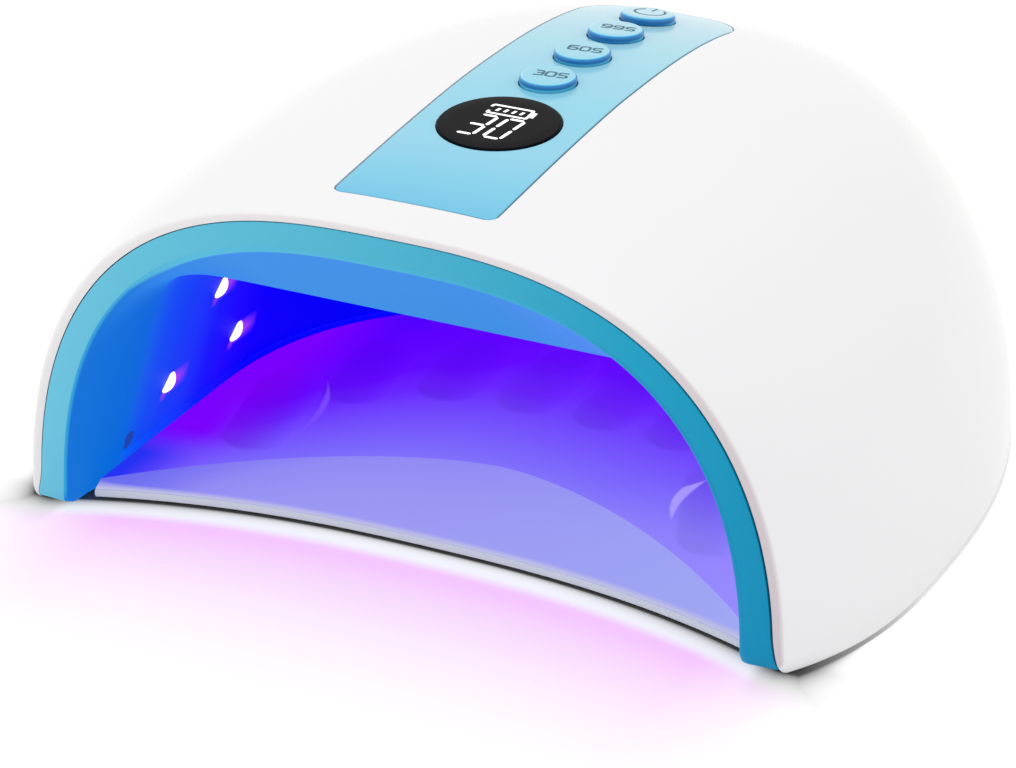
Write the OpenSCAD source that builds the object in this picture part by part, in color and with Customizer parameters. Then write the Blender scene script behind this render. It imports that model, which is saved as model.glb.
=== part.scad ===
/* [Shell] */
// Overall width of the white shell at its widest
shell_w = 229; // [205:1:250]
// Depth of the shell, from the front feet to the back
shell_depth = 222.6; // [205:0.2:245]
// Height of the shell's crown above the table
shell_h = 99; // [96:0.5:115]
// Thickness of the shell
shell_wall = 2.4; // [1.8:0.1:3]
// How much narrower each side is at the front edge
front_taper = 14.9; // [12:0.1:18]
// How much lower the crown is at the front edge
front_drop = 5.4; // [4:0.1:7]
// How far behind the front edge the shell is widest
widest_at = 73; // [60:1:85]
// How far behind the front edge the shell is highest
highest_at = 82; // [70:1:95]
// How far the middle of the front edge bows forward
front_bow = 2.5; // [0:0.1:5]
// Height of the shell's lower edge above the table
shell_lift = 0.8; // [0.4:0.1:1.2]

/* [Front bezel] */
// Gap between the bezel and the shell
seam = 0.4; // [0.2:0.05:0.6]
// Width of the bezel's front band
band_w = 7.3; // [5:0.1:10]
// Depth of the band's outer side
band_depth = 5; // [3:0.5:8]
// Depth from the feet to the bezel's rear edge
bezel_depth = 20; // [16:0.5:24]
// Thickness of the bezel's sloping reveal
bezel_wall = 2.2; // [1.6:0.1:3]

/* [Hand cavity] */
// Distance of the cavity's wall from the shell's side at the front
side_space = 11.6; // [11:0.1:14]
// Distance of the cavity's flat ceiling below the crown
roof_space = 37.4; // [35:0.2:42]
// Distance of the cavity's back wall from the shell's back
back_space = 70.6; // [68:0.2:80]
// How far behind the feet the cavity starts to narrow
straight_to = 70; // [55:1:80]
// How much narrower the ceiling is than the foot, as a share
wall_lean = 0.19; // [0.1:0.01:0.25]
// Thickness of the liner
liner_wall = 2; // [1.5:0.1:2.5]

/* [Control strip] */
// Width of the strip
strip_w = 41.8; // [36:0.2:46]
// Depth from the feet to the strip's front edge
strip_front = 12.5; // [10:0.5:16]
// Length of the strip
strip_l = 144.5; // [140:0.5:150]
// Thickness of the strip
strip_t = 2.2; // [1.6:0.1:2.6]
// Corner radius of the strip
strip_corner = 4.5; // [2:0.5:8]
// Gap all round the strip and the display window
strip_gap = 0.25; // [0.15:0.05:0.4]

/* [Display] */
// Diameter of the round window
window_d = 30; // [24:0.2:34]
// Depth from the feet to the middle of the window
window_at = 57.3; // [50:0.1:60]
// How far the window stands above the strip
window_proud = 0.3; // [0.1:0.1:0.8]
// Thickness of the window
window_t = 2; // [1.2:0.1:3]
// Width of the digit module under the window
digits_w = 24; // [18:0.5:26]
// Length of the digit module under the window
digits_l = 17; // [12:0.5:20]

/* [Buttons] */
// Diameter of a button cap
button_d = 14.3; // [10:0.1:17]
// Distance from one button to the next
button_pitch = 19.6; // [18:0.1:21]
// Distance from the middle of the window to the first button
first_button = 26.8; // [26:0.1:30]
// Height of a cap above the strip
button_proud = 2.2; // [1.5:0.1:3]
// How far a button travels
button_travel = 0.8; // [0.4:0.1:1.2]
// Radial gap round a cap
button_gap = 0.15; // [0.1:0.05:0.3]
// Width of the flange that keeps a cap in
flange_w = 1; // [0.6:0.1:1.4]
// Thickness of that flange
flange_t = 1.2; // [0.8:0.1:1.6]
// Diameter of the stem under a cap
stem_d = 4; // [3:0.2:6]
// Width of a switch's square body
switch_w = 6; // [5.6:0.2:8]
// Height of a switch's body
switch_h = 3.6; // [3:0.1:4.5]
// Diameter of a switch's plunger
plunger_d = 3; // [2:0.1:3.4]

/* [Boards] */
// Thickness of a circuit board
board_t = 1.6; // [1:0.1:2]
// Height of the strip's underside above the board's back corners
board_drop = 4.5; // [4.2:0.1:6]
// Width of the control board
board_w = 36; // [34:0.5:40]
// How far the board reaches past the window in front
board_ahead = 1.1; // [0:0.1:4]
// How far the board's back edge lies in front of the strip's
board_behind = 3; // [2:0.5:6]
// Diameter of the board's screw posts
post_d = 5; // [4:0.2:6]
// Distance of the screw posts from the board's edges
post_in = 4; // [3:0.2:6]
// Diameter of the screw holes in the posts
post_hole_d = 2; // [1.4:0.1:2.4]
// Depth of those holes
post_hole_l = 4; // [3:0.2:5]
// Width of the carrier frame's rails
carrier_w = 5; // [4:0.2:5.4]
// Thickness of the carrier frame
carrier_t = 2; // [1.2:0.1:3]
// Gap between the posts and the strip
post_gap = 0.3; // [0.2:0.05:0.5]
// Thickness of a lamp board that holds the beads
bead_board_t = 1.2; // [0.8:0.1:1.6]
// Gap between the liner and a lamp board
bead_board_gap = 0.3; // [0.2:0.05:0.6]

/* [Lamp beads] */
// Diameter of a bead's lens
bead_d = 5; // [4:0.1:6]
// Diameter of the hole that a bead looks through
bead_hole_d = 6.4; // [6:0.1:7.5]
// Height of a bead above its board
bead_h = 2.4; // [2:0.1:2.6]
// Height of the lower row on the side walls
low_row_z = 18.5; // [16:0.5:26]
// Height of the single upper bead on the side walls
high_row_z = 39; // [36:0.5:44]
// Depth from the feet to the first side bead
side_bead_at = 40.5; // [36:0.5:42]
// Distance along the wall from one side bead to the next
side_bead_pitch = 17; // [14:0.5:18]
// Distance between beads across the ceiling
roof_pitch = 34; // [28:1:38]
// Distance between rows of beads in the ceiling
roof_row_pitch = 30; // [24:1:34]
// Depth from the feet to the first row in the ceiling
roof_bead_at = 48; // [44:1:56]
// Distance between the two outer beads in the back wall
back_pitch = 26; // [20:1:30]

/* [Hand sensor] */
// Diameter of the sensor window
sensor_d = 4.6; // [3.5:0.1:6]
// Height of the sensor above the table
sensor_z = 9; // [8.5:0.5:14]
// Distance of the sensor behind the bezel
sensor_behind = 4.5; // [4:0.5:7]
// Length of the sensor
sensor_l = 5; // [4:0.5:7]

/* [Battery] */
// Diameter of a cell
cell_d = 18.4; // [17:0.1:18.8]
// Length of a cell
cell_l = 65; // [60:0.5:66]
// Gap between the rear lamp board and the cell holder
holder_gap = 3.2; // [1:0.1:5]
// Gap between the cells and their holder
cell_gap = 0.3; // [0.2:0.05:0.6]
// Thickness of the holder
holder_wall = 1.6; // [1.2:0.1:2]

/* [Charging socket] */
// Diameter of the socket's hole for the plug
jack_bore_d = 5.7; // [5.5:0.1:6.4]
// Depth of that hole
jack_bore_l = 9; // [8:0.5:11]
// Diameter of the contact pin in the socket
jack_pin_d = 2; // [1.3:0.1:2.5]
// Outer diameter of the socket's collar
jack_collar_d = 8.4; // [8:0.1:9.5]
// Width and height of the socket's body
jack_body = 10.6; // [10:0.2:12]
// Length of the socket's body
jack_body_l = 14; // [12:0.5:16]
// Length of the socket's collar
jack_collar_l = 3.5; // [3:0.1:4.5]
// How deep the collar's mouth lies inside the shell's back
jack_recess = 0.8; // [0.4:0.1:1.2]
// Gap between the collar and the shell
jack_gap = 0.15; // [0.1:0.05:0.3]
// Width of the charge board
charge_w = 44; // [40:1:50]
// Length of the charge board
charge_l = 22; // [20:1:24]
// Distance of the charge board from the shell's back
charge_inset = 12.6; // [11:0.2:14]
// Distance of the pegs from the charge board's edges
peg_in = 4; // [3:0.5:6]
// Diameter of the pegs under the charge board
peg_d = 4; // [3:0.2:5]
// Height of those pegs
peg_h = 2.8; // [2.6:0.1:3.4]

/* [Bottom frame and tray] */
// Height of the bottom frame's underside above the table
frame_z = 3.4; // [3:0.1:4.5]
// Thickness of the bottom frame
frame_t = 2.2; // [1.8:0.1:3]
// Height of the tray's underside above the table
tray_lift = 0.9; // [0.5:0.1:1.2]
// Gap between the tray and the frame above it
tray_gap = 0.3; // [0.2:0.05:0.6]
// Gap between the tray's raised floor and the cavity's walls
tray_clear = 1.3; // [1.1:0.1:2]
// Height of the tray's front edge above the table
tray_front_z = 3; // [2.4:0.1:4]
// Height of the tray's flat floor above the table
tray_floor_z = 4.6; // [4:0.1:5.2]
// How far the tray's front edge curves back at its middle
tray_curve = 16.7; // [8:0.1:24]
// Depth from the feet to the front corners of the tray
tray_front = 4; // [3:0.5:8]
// Depth from the feet to the middle of the tray's ramp line
ramp_at = 60; // [50:1:66]
// How far the tray reaches under the frame at each side
tray_flange = 9; // [7:0.5:11]
// Diameter of a foot pad
foot_d = 8; // [6:0.5:9]
// Distance of the lamp's foot pads from the shell's inside
foot_in = 1; // [0.5:0.1:2]
// Depth from the front to the first pair of foot pads
foot_front = 32; // [28:1:40]
// Distance of the last pair of foot pads from the shell's back
foot_back = 22.6; // [20:0.2:30]
// Distance of the tray's foot pads from the middle
tray_foot_x = 52; // [40:1:70]
// Diameter of a holding magnet
magnet_d = 6; // [5:0.5:7]
// Thickness of a holding magnet
magnet_t = 1.4; // [1:0.1:1.6]

/* [Finger rests] */
// Width of a finger rest
rest_w = 18; // [14:0.5:20]
// Depth of a finger rest
rest_t = 1.8; // [1:0.1:2.2]
// Distance from one finger rest to the next
rest_pitch = 21.6; // [20:0.2:24]
// Distance of the middle finger rests from the cavity's back wall
rest_behind = 54; // [48:1:60]
// Length of a finger rest
rest_l = 24; // [16:1:30]
// Distance of the thumb rests from the middle
thumb_x = 62; // [58:0.5:66]
// Depth from the feet to the thumb rests
thumb_at = 50; // [46:1:56]
// Length of the thumb rests
thumb_l = 24; // [16:1:28]

/* [Fasteners] */
// Diameter of a case screw's shank
screw_d = 2.8; // [2.2:0.1:3.2]
// Diameter of a case screw's head
screw_head_d = 5.4; // [4.8:0.1:6]
// Height of a case screw's head
screw_head_t = 1.4; // [1:0.1:1.8]
// Length of a case screw under its head
screw_l = 10; // [8:0.5:12]
// Radial gap between a screw and its hole
screw_gap = 0.05; // [0.02:0.01:0.1]
// Diameter of a screw boss
boss_d = 7; // [6:0.2:8]
// Height of a screw boss
boss_h = 11; // [10.5:0.5:14]
// How far a boss stands inside the middle of its ring
boss_step = 0.5; // [0:0.1:0.5]
// Width of the ring that carries the bosses
ring_w = 8; // [7:0.5:9]
// Thickness of that ring
ring_t = 2.4; // [1.6:0.1:3]
// Gap from the ring and the bottom frame to the shell
ring_gap = 0.8; // [0.6:0.05:1]
// Depth from the front to the first pair of bosses
boss_front = 52; // [46:1:60]
// Distance of the last pair of bosses from the shell's back
boss_back = 50.6; // [46:0.2:60]

/* [Hidden] */

$fn = 48;
// Places are worked out from the front feet and moved at the end, so that the
// origin lies under the middle of the lamp
feet_y = (front_bow - shell_depth) / 2;

// Exponents of the superellipses that shape the shell, the bezel and the liner
flare_exp = 3;
plan_exp = 2.13;
rise_exp = 1.4;
roof_exp = 2.76;
section_x = 2.74;
section_z = 1.94;
front_section_z = 2.27;
front_blend = 60;
bow_blend = 36;
inner_x = 2.85;
inner_z = 2.3;
liner_exp = 8;
liner_plan_exp = 2.3;
tray_curve_exp = 2.46;

// How finely the curved skins are divided
arch_steps = 34;
shell_rows = 26;
liner_rows = 18;
liner_steps = 28;
strip_rows = 24;

half_w = shell_w / 2;
front_w = shell_w - 2 * front_taper;
front_h = shell_h - front_drop;
bezel_half = front_w / 2 - shell_wall - seam;
bezel_top = front_h - shell_wall - seam;
cavity_half = front_w / 2 - side_space;
cavity_depth = shell_depth - back_space;
ceiling_z = shell_h - roof_space;
strip_back = strip_front + strip_l;
strip_margin = 4;
button_at = window_at + first_button;
sensor_at = bezel_depth + sensor_behind;
rest_at = cavity_depth - rest_behind;
liner_z = frame_z + frame_t;
cavity_h = ceiling_z - liner_z;
lean_angle = atan(wall_lean * cavity_half / cavity_h);

// Points along a path, evenly spaced by length
function step_to(p, i) = i + 1 < len(p) ? norm(p[i + 1] - p[i]) : 0;
function steps_of(p) = [for (i = 0, s = 0; i < len(p); s = s + step_to(p, i), i = i + 1) s];
function even(p, n) =
  let (s = steps_of(p), total = s[len(s) - 1],
    xs = [for (i = [0:len(p) - 1]) [s[i], p[i].x]],
    ys = [for (i = [0:len(p) - 1]) [s[i], p[i].y]])
  [for (i = [0:n]) [lookup(total * i / n, xs), lookup(total * i / n, ys)]];

// An arch from the right foot over the top to the left foot
function signed_pow(v, e) = sign(v) * pow(abs(v), e);
function arch(w, h, ex, ez, lean = 0, n = arch_steps) =
  even([for (a = [0:1.5:180])
    let (z = pow(abs(sin(a)), 2 / ez))
    [w * (1 - lean * z) * signed_pow(cos(a), 2 / ex), h * z]], n);

// Half width and height of the shell at a depth behind the feet
function shell_half(d) = d < widest_at
  ? half_w - (half_w - front_w / 2) * pow((widest_at - d) / widest_at, flare_exp)
  : half_w * pow(max(0, 1 - pow((d - widest_at) / (shell_depth - widest_at), plan_exp)), 1 / plan_exp);
function shell_top(d) = d < highest_at
  ? shell_h - (shell_h - front_h) * pow((highest_at - d) / highest_at, rise_exp)
  : shell_lift + (shell_h - shell_lift)
    * pow(max(0, 1 - pow((d - highest_at) / (shell_depth - highest_at), roof_exp)), 1 / roof_exp);
function shell_ez(d) = section_z + (front_section_z - section_z) * pow(max(0, 1 - d / front_blend), 2);
function bow(x) = -front_bow * (1 - pow(x / (front_w / 2), 2));
function shell_row(d, inset = 0) =
  let (kx = 1 - inset / half_w, kz = 1 - inset / shell_h, ky = 1 - inset / shell_depth,
    near = pow(max(0, 1 - d / bow_blend), 2))
  [for (p = arch(shell_half(d), shell_top(d) - shell_lift, section_x, shell_ez(d)))
    [p.x * kx, d * ky + bow(p.x) * near, shell_lift + p.y * kz]];

// Height and slope of the shell's outer skin near the middle
function skin_z(x, d) = shell_lift + (shell_top(d) - shell_lift)
  * pow(1 - pow(abs(x) / shell_half(d), section_x), 1 / shell_ez(d));
function slope(d) = atan((shell_top(d + 1) - shell_top(d - 1)) / 2);

// Half width and height of the liner at a depth behind the feet
function liner_half(d) = d < straight_to ? cavity_half
  : cavity_half * pow(max(0, 1 - pow((d - straight_to) / (cavity_depth - straight_to), liner_plan_exp)),
    1 / liner_plan_exp);
function liner_top(d) = d < straight_to ? cavity_h
  : cavity_h * pow(max(0, 1 - pow((d - straight_to) / (cavity_depth - straight_to), liner_exp)),
    1 / liner_exp);
function liner_row(d, grow = 0) =
  let (kx = 1 + grow / cavity_half, kz = 1 + grow / cavity_h,
    ky = 1 + grow / (cavity_depth - bezel_depth))
  [for (p = arch(liner_half(d), liner_top(d), liner_exp, liner_exp, wall_lean, liner_steps))
    [p.x * kx, bezel_depth + (d - bezel_depth) * ky, liner_z + p.y * kz]];
function wall_x(z) = cavity_half * (1 - wall_lean * (z - liner_z) / cavity_h);

// Outline of the cavity's floor, from the right front corner round the back
function floor_line(grow, from) =
  concat([[cavity_half + grow, from]],
    [for (a = [0:5:180])
      [(cavity_half + grow) * signed_pow(cos(a), 2 / liner_plan_exp),
        straight_to + (cavity_depth - straight_to + grow) * pow(abs(sin(a)), 2 / liner_plan_exp)]],
    [[-cavity_half - grow, from]]);

// Outline of the shell's foot, from the right front corner round the back
function foot_line(inset, from) =
  let (rows = 44)
  concat(
    [for (i = [0:rows]) let (d = from + (shell_depth - inset - from) * sin(90 * i / rows))
      [max(0, shell_half(d * shell_depth / (shell_depth - inset)) * (1 - inset / half_w)), d]],
    [for (i = [rows - 1:-1:0]) let (d = from + (shell_depth - inset - from) * sin(90 * i / rows))
      [-shell_half(d * shell_depth / (shell_depth - inset)) * (1 - inset / half_w), d]]);

module place() translate([0, feet_y, 0]) children();

// A closed skin through loops with the same number of points
module skin(loops) {
  n = len(loops[0]);
  rows = len(loops);
  points = [for (l = loops) each l];
  sides = [for (i = [0:rows - 2]) for (j = [0:n - 1])
    let (a = i * n + j, b = i * n + (j + 1) % n)
    each [[a, b, b + n], [a, b + n, a + n]]];
  ends = [[for (j = [n - 1:-1:0]) j], [for (j = [0:n - 1]) (rows - 1) * n + j]];
  polyhedron(points, concat(sides, ends), convexity = 8);
}

// A bowl with a wall, open in front and below, whose rows close on a point at the back
module bowl(outer, outer_tip, inner, inner_tip) {
  n = len(outer[0]);
  rows = len(outer);
  o = rows * n;
  points = concat([for (r = inner) each r], [for (r = outer) each r], [inner_tip, outer_tip]);
  tip_a = 2 * o;
  tip_b = 2 * o + 1;
  last = (rows - 1) * n;
  skins = [for (i = [0:rows - 2]) for (j = [0:n - 2])
    let (a = i * n + j)
    each [[a, a + n, a + n + 1], [a, a + n + 1, a + 1],
      [o + a, o + a + 1, o + a + n + 1], [o + a, o + a + n + 1, o + a + n]]];
  tips = [for (j = [0:n - 2])
    each [[last + j, tip_a, last + j + 1], [o + last + j, o + last + j + 1, tip_b]]];
  front = [for (j = [0:n - 2]) each [[j, j + 1, o + j + 1], [j, o + j + 1, o + j]]];
  right = [for (i = [0:rows - 2]) let (a = i * n) each [[a, o + a, o + a + n], [a, o + a + n, a + n]]];
  left = [for (i = [0:rows - 2]) let (a = i * n + n - 1)
    each [[a, a + n, o + a + n], [a, o + a + n, o + a]]];
  heel = [[last, o + last, tip_b], [last, tip_b, tip_a],
    [last + n - 1, tip_a, tip_b], [last + n - 1, tip_b, o + last + n - 1]];
  polyhedron(points, concat(skins, tips, front, right, left, heel), convexity = 10);
}

// Rounded plan of the strip
module strip_plan(grow) {
  w = strip_w / 2;
  c = strip_corner;
  corners = [[w - c, strip_back - c, 0], [c - w, strip_back - c, 90],
    [c - w, strip_front + c, 180], [w - c, strip_front + c, 270]];
  polygon([for (q = corners) for (a = [q[2]:15:q[2] + 90])
    [q[0] + (c + grow) * cos(a), q[1] + (c + grow) * sin(a)]]);
}

// A slab that follows the shell's skin over the strip's plan
module strip_slab() {
  side = strip_w / 2 + strip_margin;
  across = [-1, -0.5, 0, 0.5, 1];
  start = strip_front - strip_margin;
  step = (strip_l + 2 * strip_margin) / strip_rows;
  intersection() {
    skin([for (i = [0:strip_rows]) let (d = start + i * step)
      concat([for (k = across) [k * side, d, skin_z(k * side, d) - strip_t]],
        [for (k = across) [-k * side, d, skin_z(k * side, d)]])]);
    translate([0, 0, board_z]) linear_extrude(height = shell_h) strip_plan(0);
  }
}

// Puts a child on the shell's skin, square to it
module on_skin(d) translate([0, d, skin_z(0, d)]) rotate([slope(d), 0, 0]) children();

// Puts a child on the liner's side wall, square to it and facing out of the cavity
module on_wall(side, d, z) {
  mirror([side < 0 ? 1 : 0, 0, 0]) translate([wall_x(z), d, z]) rotate([0, 90 - lean_angle, 0]) children();
}

button_y = [for (i = [0:3]) button_at + i * button_pitch];
cap_r = button_d / 2;
cap_edge = 0.8;
flange_gap = 0.3;
flange_z = -strip_t - flange_gap;
cut_d = 9;
plunger_in = 0.7;
plunger_clear = 0.6;
plunger_well = 2.2;
stem_clear = button_travel + 0.4;
function reach(i) = (skin_z(0, button_y[i]) - board_z - switch_h) / cos(slope(button_y[i]));

board_front = window_at - window_d / 2 - board_ahead;
board_back = strip_back - board_behind;
board_z = skin_z(board_w / 2, board_back) - strip_t - board_drop;
board_posts = [for (x = [-1, 1]) for (d = [board_front + post_in, board_back - post_in])
  [x * (board_w / 2 - post_in), d]];
board_head_d = 3.8;
board_head_t = 1.2;
board_screw_d = post_hole_d - 0.1;
module_gap = 0.6;

// Pegs under the charge board, and the socket on it
charge_at = shell_depth - charge_inset - charge_l;
pegs = [for (x = [-1, 1]) for (d = [charge_at + peg_in, charge_at + charge_l - peg_in])
  [x * (charge_w / 2 - peg_in), d]];
charge_board_z = liner_z + peg_h;
jack_z = charge_board_z + board_t + jack_body / 2;
jack_mouth = shell_depth - jack_recess;
jack_back = jack_mouth - jack_collar_l;

// A place inside the shell's foot, at a side, a depth and a distance from the shell's wall
function inside(side, d, inset) =
  [side * shell_half(d * shell_depth / (shell_depth - inset)) * (1 - inset / half_w), d];

// Plan places of the case screws
boss_rear = shell_depth - boss_back;
boss_in = shell_wall + ring_gap + ring_w / 2 + boss_step;
bosses = [for (s = [-1, 1]) for (d = [boss_front, (boss_front + boss_rear) / 2, boss_rear])
  inside(s, d, boss_in)];
screw_hole_d = screw_d + 2 * screw_gap;

// Side beads: depth and height
side_beads = [[side_bead_at, low_row_z], [side_bead_at + side_bead_pitch, high_row_z],
  [side_bead_at + 2 * side_bead_pitch, low_row_z]];
side_edge_z = 11;
side_edge = 8.5;
side_board = [high_row_z - low_row_z + 2 * side_edge_z, 2 * (side_bead_pitch + side_edge)];
side_board_z = (low_row_z + high_row_z) / 2;
roof_beads = [for (x = [-1, 0, 1]) for (i = [0:2]) [x * roof_pitch, roof_bead_at + i * roof_row_pitch]];
roof_edge = 11;
roof_board = [2 * (roof_pitch + roof_edge), 2 * (roof_row_pitch + roof_edge)];
roof_board_z = ceiling_z + liner_wall + bead_board_gap;
back_beads = [-back_pitch, 0, back_pitch];
back_edge = 8;
back_board = [2 * (back_pitch + back_edge), 2 * (back_edge + 1)];
back_board_y = cavity_depth + liner_wall + bead_board_gap;
cell_at = back_board_y + bead_board_t + holder_gap + holder_wall + cell_gap + cell_d / 2;
bead_cap = 1.2;
bead_r = bead_d / 2;
side_face = liner_wall + bead_board_gap;

module top_shell() color("white") place() difference() {
  bowl([for (i = [0:shell_rows - 1]) shell_row(shell_depth * sin(90 * i / shell_rows))],
    [0, shell_depth, shell_lift],
    [for (i = [0:shell_rows - 1]) shell_row(shell_depth * sin(90 * i / shell_rows), shell_wall)],
    [0, shell_depth - shell_wall, shell_lift]);
  translate([0, 0, board_z - 5]) linear_extrude(height = shell_h) strip_plan(strip_gap);
  translate([0, shell_depth - 10, jack_z]) rotate([-90, 0, 0])
    cylinder(d = jack_collar_d + 2 * jack_gap, h = 20);
}

// Ring inside the shell's foot, with the bosses for the case screws
module screw_ring() color("white") place() difference() {
  union() {
    translate([0, 0, liner_z]) linear_extrude(height = ring_t) difference() {
      polygon(foot_line(shell_wall + ring_gap, bezel_depth + 1));
      polygon(foot_line(shell_wall + ring_gap + ring_w, bezel_depth));
    }
    for (p = bosses) translate([p.x, p.y, liner_z]) cylinder(d = boss_d, h = boss_h);
  }
  for (p = bosses) translate([p.x, p.y, liner_z - 1]) cylinder(d = screw_hole_d, h = screw_l + 1);
}

function bezel_at(p, y) = [p.x, y + bow(p.x) * (1 - y / bezel_depth), p.y + shell_lift];
function mix(a, b, k) = a + (b - a) * k;

module front_bezel() color("deepskyblue") place() {
  low = shell_lift;
  outer = arch(bezel_half, bezel_top - low, section_x, front_section_z);
  inner = arch(bezel_half - band_w, bezel_top - band_w - low, inner_x, inner_z);
  inner_back = arch(bezel_half - band_w + bezel_wall, bezel_top - band_w + bezel_wall - low,
    inner_x, inner_z);
  rear = arch(cavity_half, ceiling_z - low, liner_exp, liner_exp, wall_lean);
  rear_back = arch(cavity_half + bezel_wall, ceiling_z + bezel_wall - low,
    liner_exp, liner_exp, wall_lean);
  skin([for (j = [0:arch_steps]) [
    bezel_at(outer[j], band_depth), bezel_at(outer[j], 1.2), bezel_at(mix(outer[j], inner[j], 0.12), 0.2),
    bezel_at(mix(outer[j], inner[j], 0.5), 0), bezel_at(mix(outer[j], inner[j], 0.85), 0.3),
    bezel_at(inner[j], 1.5), bezel_at(mix(inner[j], rear[j], 0.5), bezel_depth * 0.52),
    bezel_at(rear[j], bezel_depth),
    bezel_at(rear_back[j], bezel_depth), bezel_at(inner_back[j], band_depth)]]);
}

module control_strip() color("skyblue") place() difference() {
  strip_slab();
  for (d = button_y) on_skin(d) translate([0, 0, -cut_d]) cylinder(r = cap_r + button_gap, h = 2 * cut_d);
  on_skin(window_at) translate([0, 0, -cut_d]) cylinder(d = window_d + 2 * strip_gap, h = 2 * cut_d);
}

// Height to which a post can rise under the strip
function post_top(p) = let (x = abs(p.x) + post_d / 2)
  min(skin_z(x, p.y - post_d / 2), skin_z(x, p.y + post_d / 2)) - strip_t - post_gap;

// Frame under the strip, with posts that hold the control board up
module board_carrier() color("white") place() difference() {
  union() {
    translate([-board_w / 2, board_front, board_z])
      cube([board_w, board_back - board_front, carrier_t]);
    for (p = board_posts) translate([p.x, p.y, board_z])
      cylinder(d = post_d, h = post_top(p) - board_z);
  }
  translate([-board_w / 2 + carrier_w, board_front + carrier_w, board_z - 1])
    cube([board_w - 2 * carrier_w, board_back - board_front - 2 * carrier_w, carrier_t + 2]);
  for (p = board_posts) translate([p.x, p.y, board_z - 1])
    cylinder(d = post_hole_d, h = post_hole_l + 1);
}

module display_window() color("black") place()
  on_skin(window_at) translate([0, 0, window_proud - window_t]) cylinder(d = window_d, h = window_t);

module display_module() color("dimgray") place() {
  top = skin_z(0, window_at) + window_proud - window_t - module_gap;
  translate([-digits_w / 2, window_at - digits_l / 2, board_z])
    cube([digits_w, digits_l, top - board_z]);
}

module button(i) color("deepskyblue") place() on_skin(button_y[i]) {
  end = -reach(i) + stem_clear;
  rotate_extrude(angle = 360) polygon(concat(
    [[0, end], [stem_d / 2, end], [stem_d / 2, flange_z - flange_t], [cap_r + flange_w, flange_z - flange_t],
      [cap_r + flange_w, flange_z], [cap_r, flange_z]],
    [for (a = [0:15:90]) [cap_r - cap_edge + cap_edge * cos(a), button_proud - cap_edge + cap_edge * sin(a)]],
    [[0, button_proud]]));
}

module plunger(i) color("dimgray") place() on_skin(button_y[i])
  translate([0, 0, -reach(i) - plunger_in]) cylinder(d = plunger_d, h = plunger_in + stem_clear);

module control_board() color("green") place() difference() {
  translate([-board_w / 2, board_front, board_z - board_t])
    cube([board_w, board_back - board_front, board_t]);
  for (p = board_posts) translate([p.x, p.y, board_z - board_t - 1])
    cylinder(d = post_hole_d + 2 * screw_gap, h = board_t + 2);
}

module tact_switches() color("silver") place() for (i = [0:3]) {
  axis_y = button_y[i] + sin(slope(button_y[i])) * reach(i);
  translate([0, axis_y, board_z]) difference() {
    translate([-switch_w / 2, -switch_w / 2, 0]) cube([switch_w, switch_w, switch_h]);
    translate([0, 0, switch_h - plunger_well])
      cylinder(r = plunger_d / 2 + plunger_clear, h = plunger_well + 1);
  }
}

module inner_liner() color("aliceblue") place() difference() {
  start = bezel_depth + 0.2;
  rows = [for (i = [0:liner_rows - 1]) start + (cavity_depth - start) * sin(90 * i / liner_rows)];
  bowl([for (d = rows) liner_row(d, liner_wall)], liner_row_tip(liner_wall),
    [for (d = rows) liner_row(d)], liner_row_tip(0));
  for (s = [-1, 1]) {
    for (b = side_beads) on_wall(s, b[0], b[1]) translate([0, 0, -4]) cylinder(d = bead_hole_d, h = 9);
    on_wall(s, sensor_at, sensor_z) translate([0, 0, -4]) cylinder(d = sensor_d + 0.3, h = 9);
  }
  for (b = roof_beads) translate([b.x, b.y, ceiling_z - 4]) cylinder(d = bead_hole_d, h = 9);
  for (x = back_beads) translate([x, cavity_depth - 9, low_row_z]) rotate([-90, 0, 0])
    cylinder(d = bead_hole_d, h = 18);
}
function liner_row_tip(grow) = [0, cavity_depth + grow, liner_z];

// One bead, standing on its board and looking down its own axis
module bead() {
  cap_r = (bead_r * bead_r + bead_cap * bead_cap) / (2 * bead_cap);
  intersection() {
    cylinder(d = bead_d, h = bead_h);
    translate([0, 0, bead_h - cap_r]) sphere(r = cap_r, $fn = 48);
  }
}

module lamp_beads() color("white") place() {
  for (s = [-1, 1]) for (b = side_beads) on_wall(s, b[0], b[1])
    translate([0, 0, side_face]) rotate([180, 0, 0]) bead();
  for (b = roof_beads) translate([b.x, b.y, roof_board_z]) rotate([180, 0, 0]) bead();
  for (x = back_beads) translate([x, back_board_y, low_row_z]) rotate([90, 0, 0]) bead();
}

module side_board(s) place() on_wall(s, side_bead_at + side_bead_pitch, side_board_z)
  translate([-side_board.x / 2, -side_board.y / 2, side_face])
    cube([side_board.x, side_board.y, bead_board_t]);
module lamp_board_left() color("gainsboro") side_board(-1);
module lamp_board_right() color("gainsboro") side_board(1);
module lamp_board_roof() color("gainsboro") place()
  translate([-roof_board.x / 2, roof_bead_at - roof_edge, roof_board_z])
    cube([roof_board.x, roof_board.y, bead_board_t]);
module lamp_board_back() color("gainsboro") place()
  translate([-back_board.x / 2, back_board_y, low_row_z - back_board.y / 2])
    cube([back_board.x, bead_board_t, back_board.y]);

module hand_sensors() color("darkslateblue") place() for (s = [-1, 1])
  on_wall(s, sensor_at, sensor_z) cylinder(d = sensor_d, h = sensor_l);

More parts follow.
